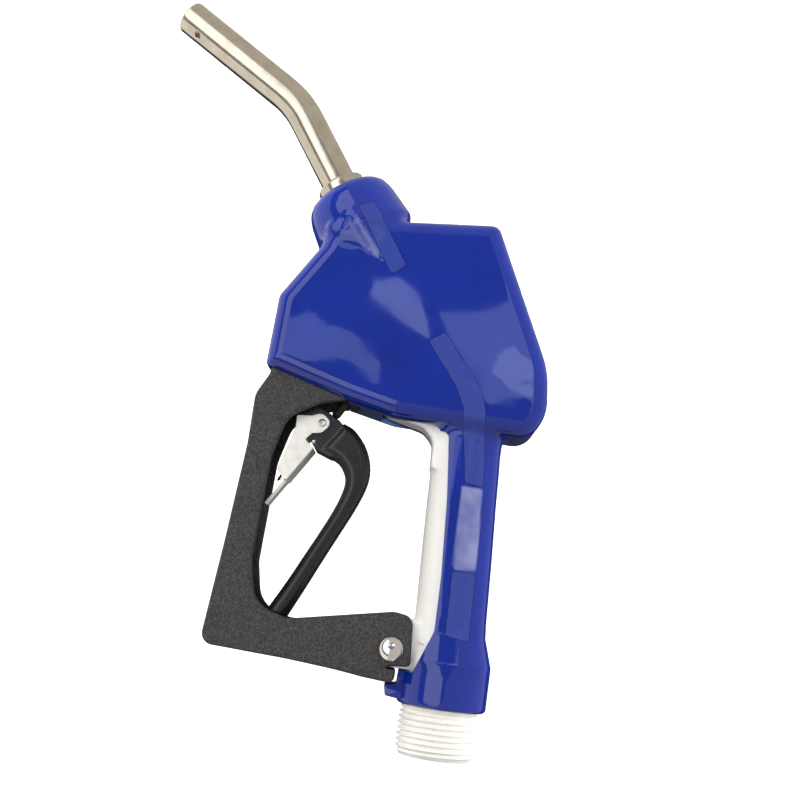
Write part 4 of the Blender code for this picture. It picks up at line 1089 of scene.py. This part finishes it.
# ------------------------------------------------------ camera, floor, lights
def camera():
    turn, rise = math.radians(8.0), math.radians(11.0)
    right = Vector((math.cos(turn), 0, math.sin(turn)))
    level = Vector((-math.sin(turn), 0, math.cos(turn)))
    look = Vector((0, math.cos(rise), 0)) + level * math.sin(rise)
    up = Vector((0, -math.sin(rise), 0)) + level * math.cos(rise)
    aim = Vector((-0.034549, 0.0, 0.147839))
    data = bpy.data.cameras.new("camera")
    data.sensor_width = 36.0
    data.lens = 49.5
    data.clip_start, data.clip_end = 0.01, 20.0
    obj = bpy.data.objects.new("camera", data)
    m = Matrix((right, up, -look)).transposed().to_4x4()
    m.translation = aim - look * 0.4862
    obj.matrix_world = m
    bpy.context.scene.collection.objects.link(obj)
    bpy.context.scene.camera = obj
    return obj


def stage():
    """A pale sheet: floor, a long sweep and a wall behind."""
    rows = []
    z0, y1, r = -0.30, 1.1, 0.5
    profile = [(-3.0, z0), (y1 - r, z0)]
    for k in range(1, 17):
        a = math.pi / 2 * k / 16
        profile.append((y1 - r + r * math.sin(a), z0 + r * (1 - math.cos(a))))
    profile.append((y1, 3.2))
    verts, faces = [], []
    for x in (-3.2, 3.2):
        verts += [(x / MM, y / MM, z / MM) for y, z in profile]
    n = len(profile)
    for i in range(n - 1):
        faces.append((i, i + 1, n + i + 1, n + i))
    look = Look("pale_paper", (0.93, 0.93, 0.93), 0.9)
    look.tint(look.noise(300, 2.0), (0.92, 0.92, 0.92), (0.94, 0.94, 0.94))
    sheet = make("sweep", verts, faces, [look.mat], 180)
    sheet.visible_glossy = False
    sheet.visible_diffuse = False


def area(name, place, aim, size, power, color=(1, 1, 1), glossy=True, spread=180.0):
    data = bpy.data.lights.new(name, "AREA")
    data.shape = "RECTANGLE"
    data.size, data.size_y = size
    data.energy = power
    data.color = color
    data.spread = math.radians(spread)
    obj = bpy.data.objects.new(name, data)
    obj.location = place
    obj.rotation_euler = (Vector(aim) - Vector(place)).to_track_quat("-Z", "Y").to_euler()
    bpy.context.scene.collection.objects.link(obj)
    obj.visible_glossy = glossy
    obj.visible_camera = False
    return obj


def lights():
    world = bpy.data.worlds.new("studio")
    bpy.context.scene.world = world
    world.use_nodes = True
    back = world.node_tree.nodes["Background"]
    back.inputs[0].default_value = (1, 1, 1, 1)
    back.inputs[1].default_value = 0.22
    mid = (-0.03, 0.0, 0.16)
    area("key_left", (-0.95, -0.95, 0.75), mid, (0.9, 0.9), 13.5, glossy=False)
    area("fill_right", (1.05, -0.8, 0.35), mid, (0.8, 1.1), 9.0, glossy=False)
    area("front", (0.0, -1.6, -0.2), mid, (1.4, 0.7), 10.0, glossy=False)
    area("top", (0.1, 0.1, 1.2), mid, (1.0, 0.8), 4.8, glossy=False)
    area("wall_left", (-1.3, 0.2, 0.6), (0.0, 1.1, 0.4), (0.8, 1.2), 26.0, glossy=False)
    area("wall_right", (1.3, 0.2, 0.6), (0.0, 1.1, 0.4), (0.8, 1.2), 26.0, glossy=False)
    bpy.context.scene.view_settings.view_transform = "Standard"


CARDS = [
    ([(-53.5, 189.0), (-52.6, 192.1), (-50.1, 195.1), (-44.6, 197.5), (-40.2, 196.7), (-34.6, 193.1), (-32.0, 189.8), (-29.5, 184.8), (-27.0, 179.6), (-25.6, 175.0),
      (-25.4, 172.1), (-31.3, 174.6), (-39.1, 178.7), (-47.1, 183.9), (-51.4, 186.3)], 2.7),
    ([(-93.5, 166.0), (-88.5, 170.8), (-85.5, 173.5), (-81.8, 174.9), (-79.2, 176.8), (-75.2, 176.6), (-73.8, 174.5), (-66.9, 172.2), (-60.3, 171.2), (-54.5, 168.3),
      (-51.4, 164.0), (-47.3, 160.9), (-44.3, 158.7), (-44.0, 150.1), (-47.1, 149.6), (-51.4, 154.5), (-56.9, 157.7), (-62.8, 158.7), (-66.8, 157.1), (-71.6, 155.9),
      (-78.6, 155.0), (-85.3, 153.5), (-91.5, 153.8)], 1.6),
    ([(-22.9, 184.3), (-5.0, 187.2), (1.8, 190.8), (9.1, 195.5), (10.7, 194.2), (13.4, 186.4), (17.8, 179.6), (22.2, 169.9), (24.0, 164.8), (25.5, 155.4), (26.3, 152.3),
      (25.8, 150.1), (21.6, 149.8), (16.5, 151.7), (9.1, 149.0), (3.9, 147.5), (0.5, 149.4), (-1.8, 153.4), (-5.4, 159.5), (-9.7, 165.4), (-18.2, 176.0), (-19.8, 179.5)], 1.75),
    ([(4.1, 170.2), (11.3, 174.3), (16.7, 172.0), (21.5, 165.5), (23.0, 156.5), (21.0, 153.0), (15.8, 154.3), (9.2, 156.4), (3.0, 161.2)], 3.3),
]


def glow(name, color, power):
    data = bpy.data.materials.new(name)
    data.use_nodes = True
    tree = data.node_tree
    tree.nodes.clear()
    out = tree.nodes.new("ShaderNodeOutputMaterial")
    light = tree.nodes.new("ShaderNodeEmission")
    light.inputs["Color"].default_value = (*color, 1)
    light.inputs["Strength"].default_value = power
    tree.links.new(light.outputs[0], out.inputs["Surface"])
    return data


def cards(eye):
    """Soft white cards behind the camera, cut so that the casing's flat side shows them
    as its pale patches."""
    eye = np.array(eye) / MM
    far = -900.0

    def f(p):
        return skin(p[0], p[1], p[2], lump=False) + ripple(*p)

    def dense(line):
        for i, a in enumerate(line):
            b = line[(i + 1) % len(line)]
            steps = max(1, int(math.hypot(b[0] - a[0], b[1] - a[1]) / 2.5))
            for j in range(steps):
                yield a[0] + (b[0] - a[0]) * j / steps, a[1] + (b[1] - a[1]) * j / steps
    for k, (corners, power) in enumerate(CARDS):
        verts = []
        for x, z in dense(corners):
            p = np.array((x, -21.0, z))
            for _ in range(12):
                p[1] += f(p)
            n = np.array([f(p + e) - f(p - e) for e in 0.5 * np.eye(3)])
            n /= np.linalg.norm(n)
            n[0], n[2] = min(max(n[0], -0.10), 0.10), min(max(n[2], -0.08), 0.08)
            n[1] = -math.sqrt(1.0 - n[0] ** 2 - n[2] ** 2)
            d = (p - eye) / np.linalg.norm(p - eye)
            r = d - 2 * (d @ n) * n
            verts.append(p + r * (far + 6.0 * k - p[1]) / r[1])
        card = make("card_%d" % k, verts, [tuple(range(len(verts)))], [glow("soft_card_%d" % k, (0.68, 0.78, 1.0), power)], 180)
        card.visible_shadow = False
        card.visible_diffuse = False
        card.visible_camera = False


def room():
    """Softboxes and walls that only the reflections see, round the direction the flat
    side mirrors, which itself stays dark."""
    axis = Vector((-0.027, -0.982, 0.189)).normalized()
    ex = Vector((1, 0, 0)) - axis * axis.x
    ex.normalize()
    ez = ex.cross(axis).normalized()
    if ez.z < 0:
        ez = -ez
    middle = Vector((-0.03, 0.0, 0.16))
    for name, t0, t1, p0, p1, color, power in [
            ("softbox", 19, 50, 120, 262, (1.0, 0.985, 0.95), 1.75),
            ("wall_right", 21, 128, -100, 118, (1.0, 0.93, 0.80), 0.56),
            ("wall_left", 66, 128, 118, 260, (1.0, 0.95, 0.86), 0.95),
            ("dark_end", 131, 180, -180, 180, (1.0, 1.0, 1.0), 0.05)]:
        rows, n, m = [], 24, 12
        for i in range(m + 1):
            t = math.radians(t0 + (t1 - t0) * i / m)
            for k in range(n + 1):
                q = math.radians(p0 + (p1 - p0) * k / n)
                d = axis * math.cos(t) + (ex * math.cos(q) + ez * math.sin(q)) * math.sin(t)
                rows.append(tuple((middle + d * 1.3) / MM))
        faces = [(i * (n + 1) + k, i * (n + 1) + k + 1, (i + 1) * (n + 1) + k + 1, (i + 1) * (n + 1) + k) for i in range(m) for k in range(n)]
        shell = make(name, rows, faces, [glow(name, color, power)], 180)
        shell.visible_shadow = False
        shell.visible_diffuse = False
        shell.visible_camera = False


eye = camera()
stage()
room()
lights()
cards(eye.matrix_world.translation)
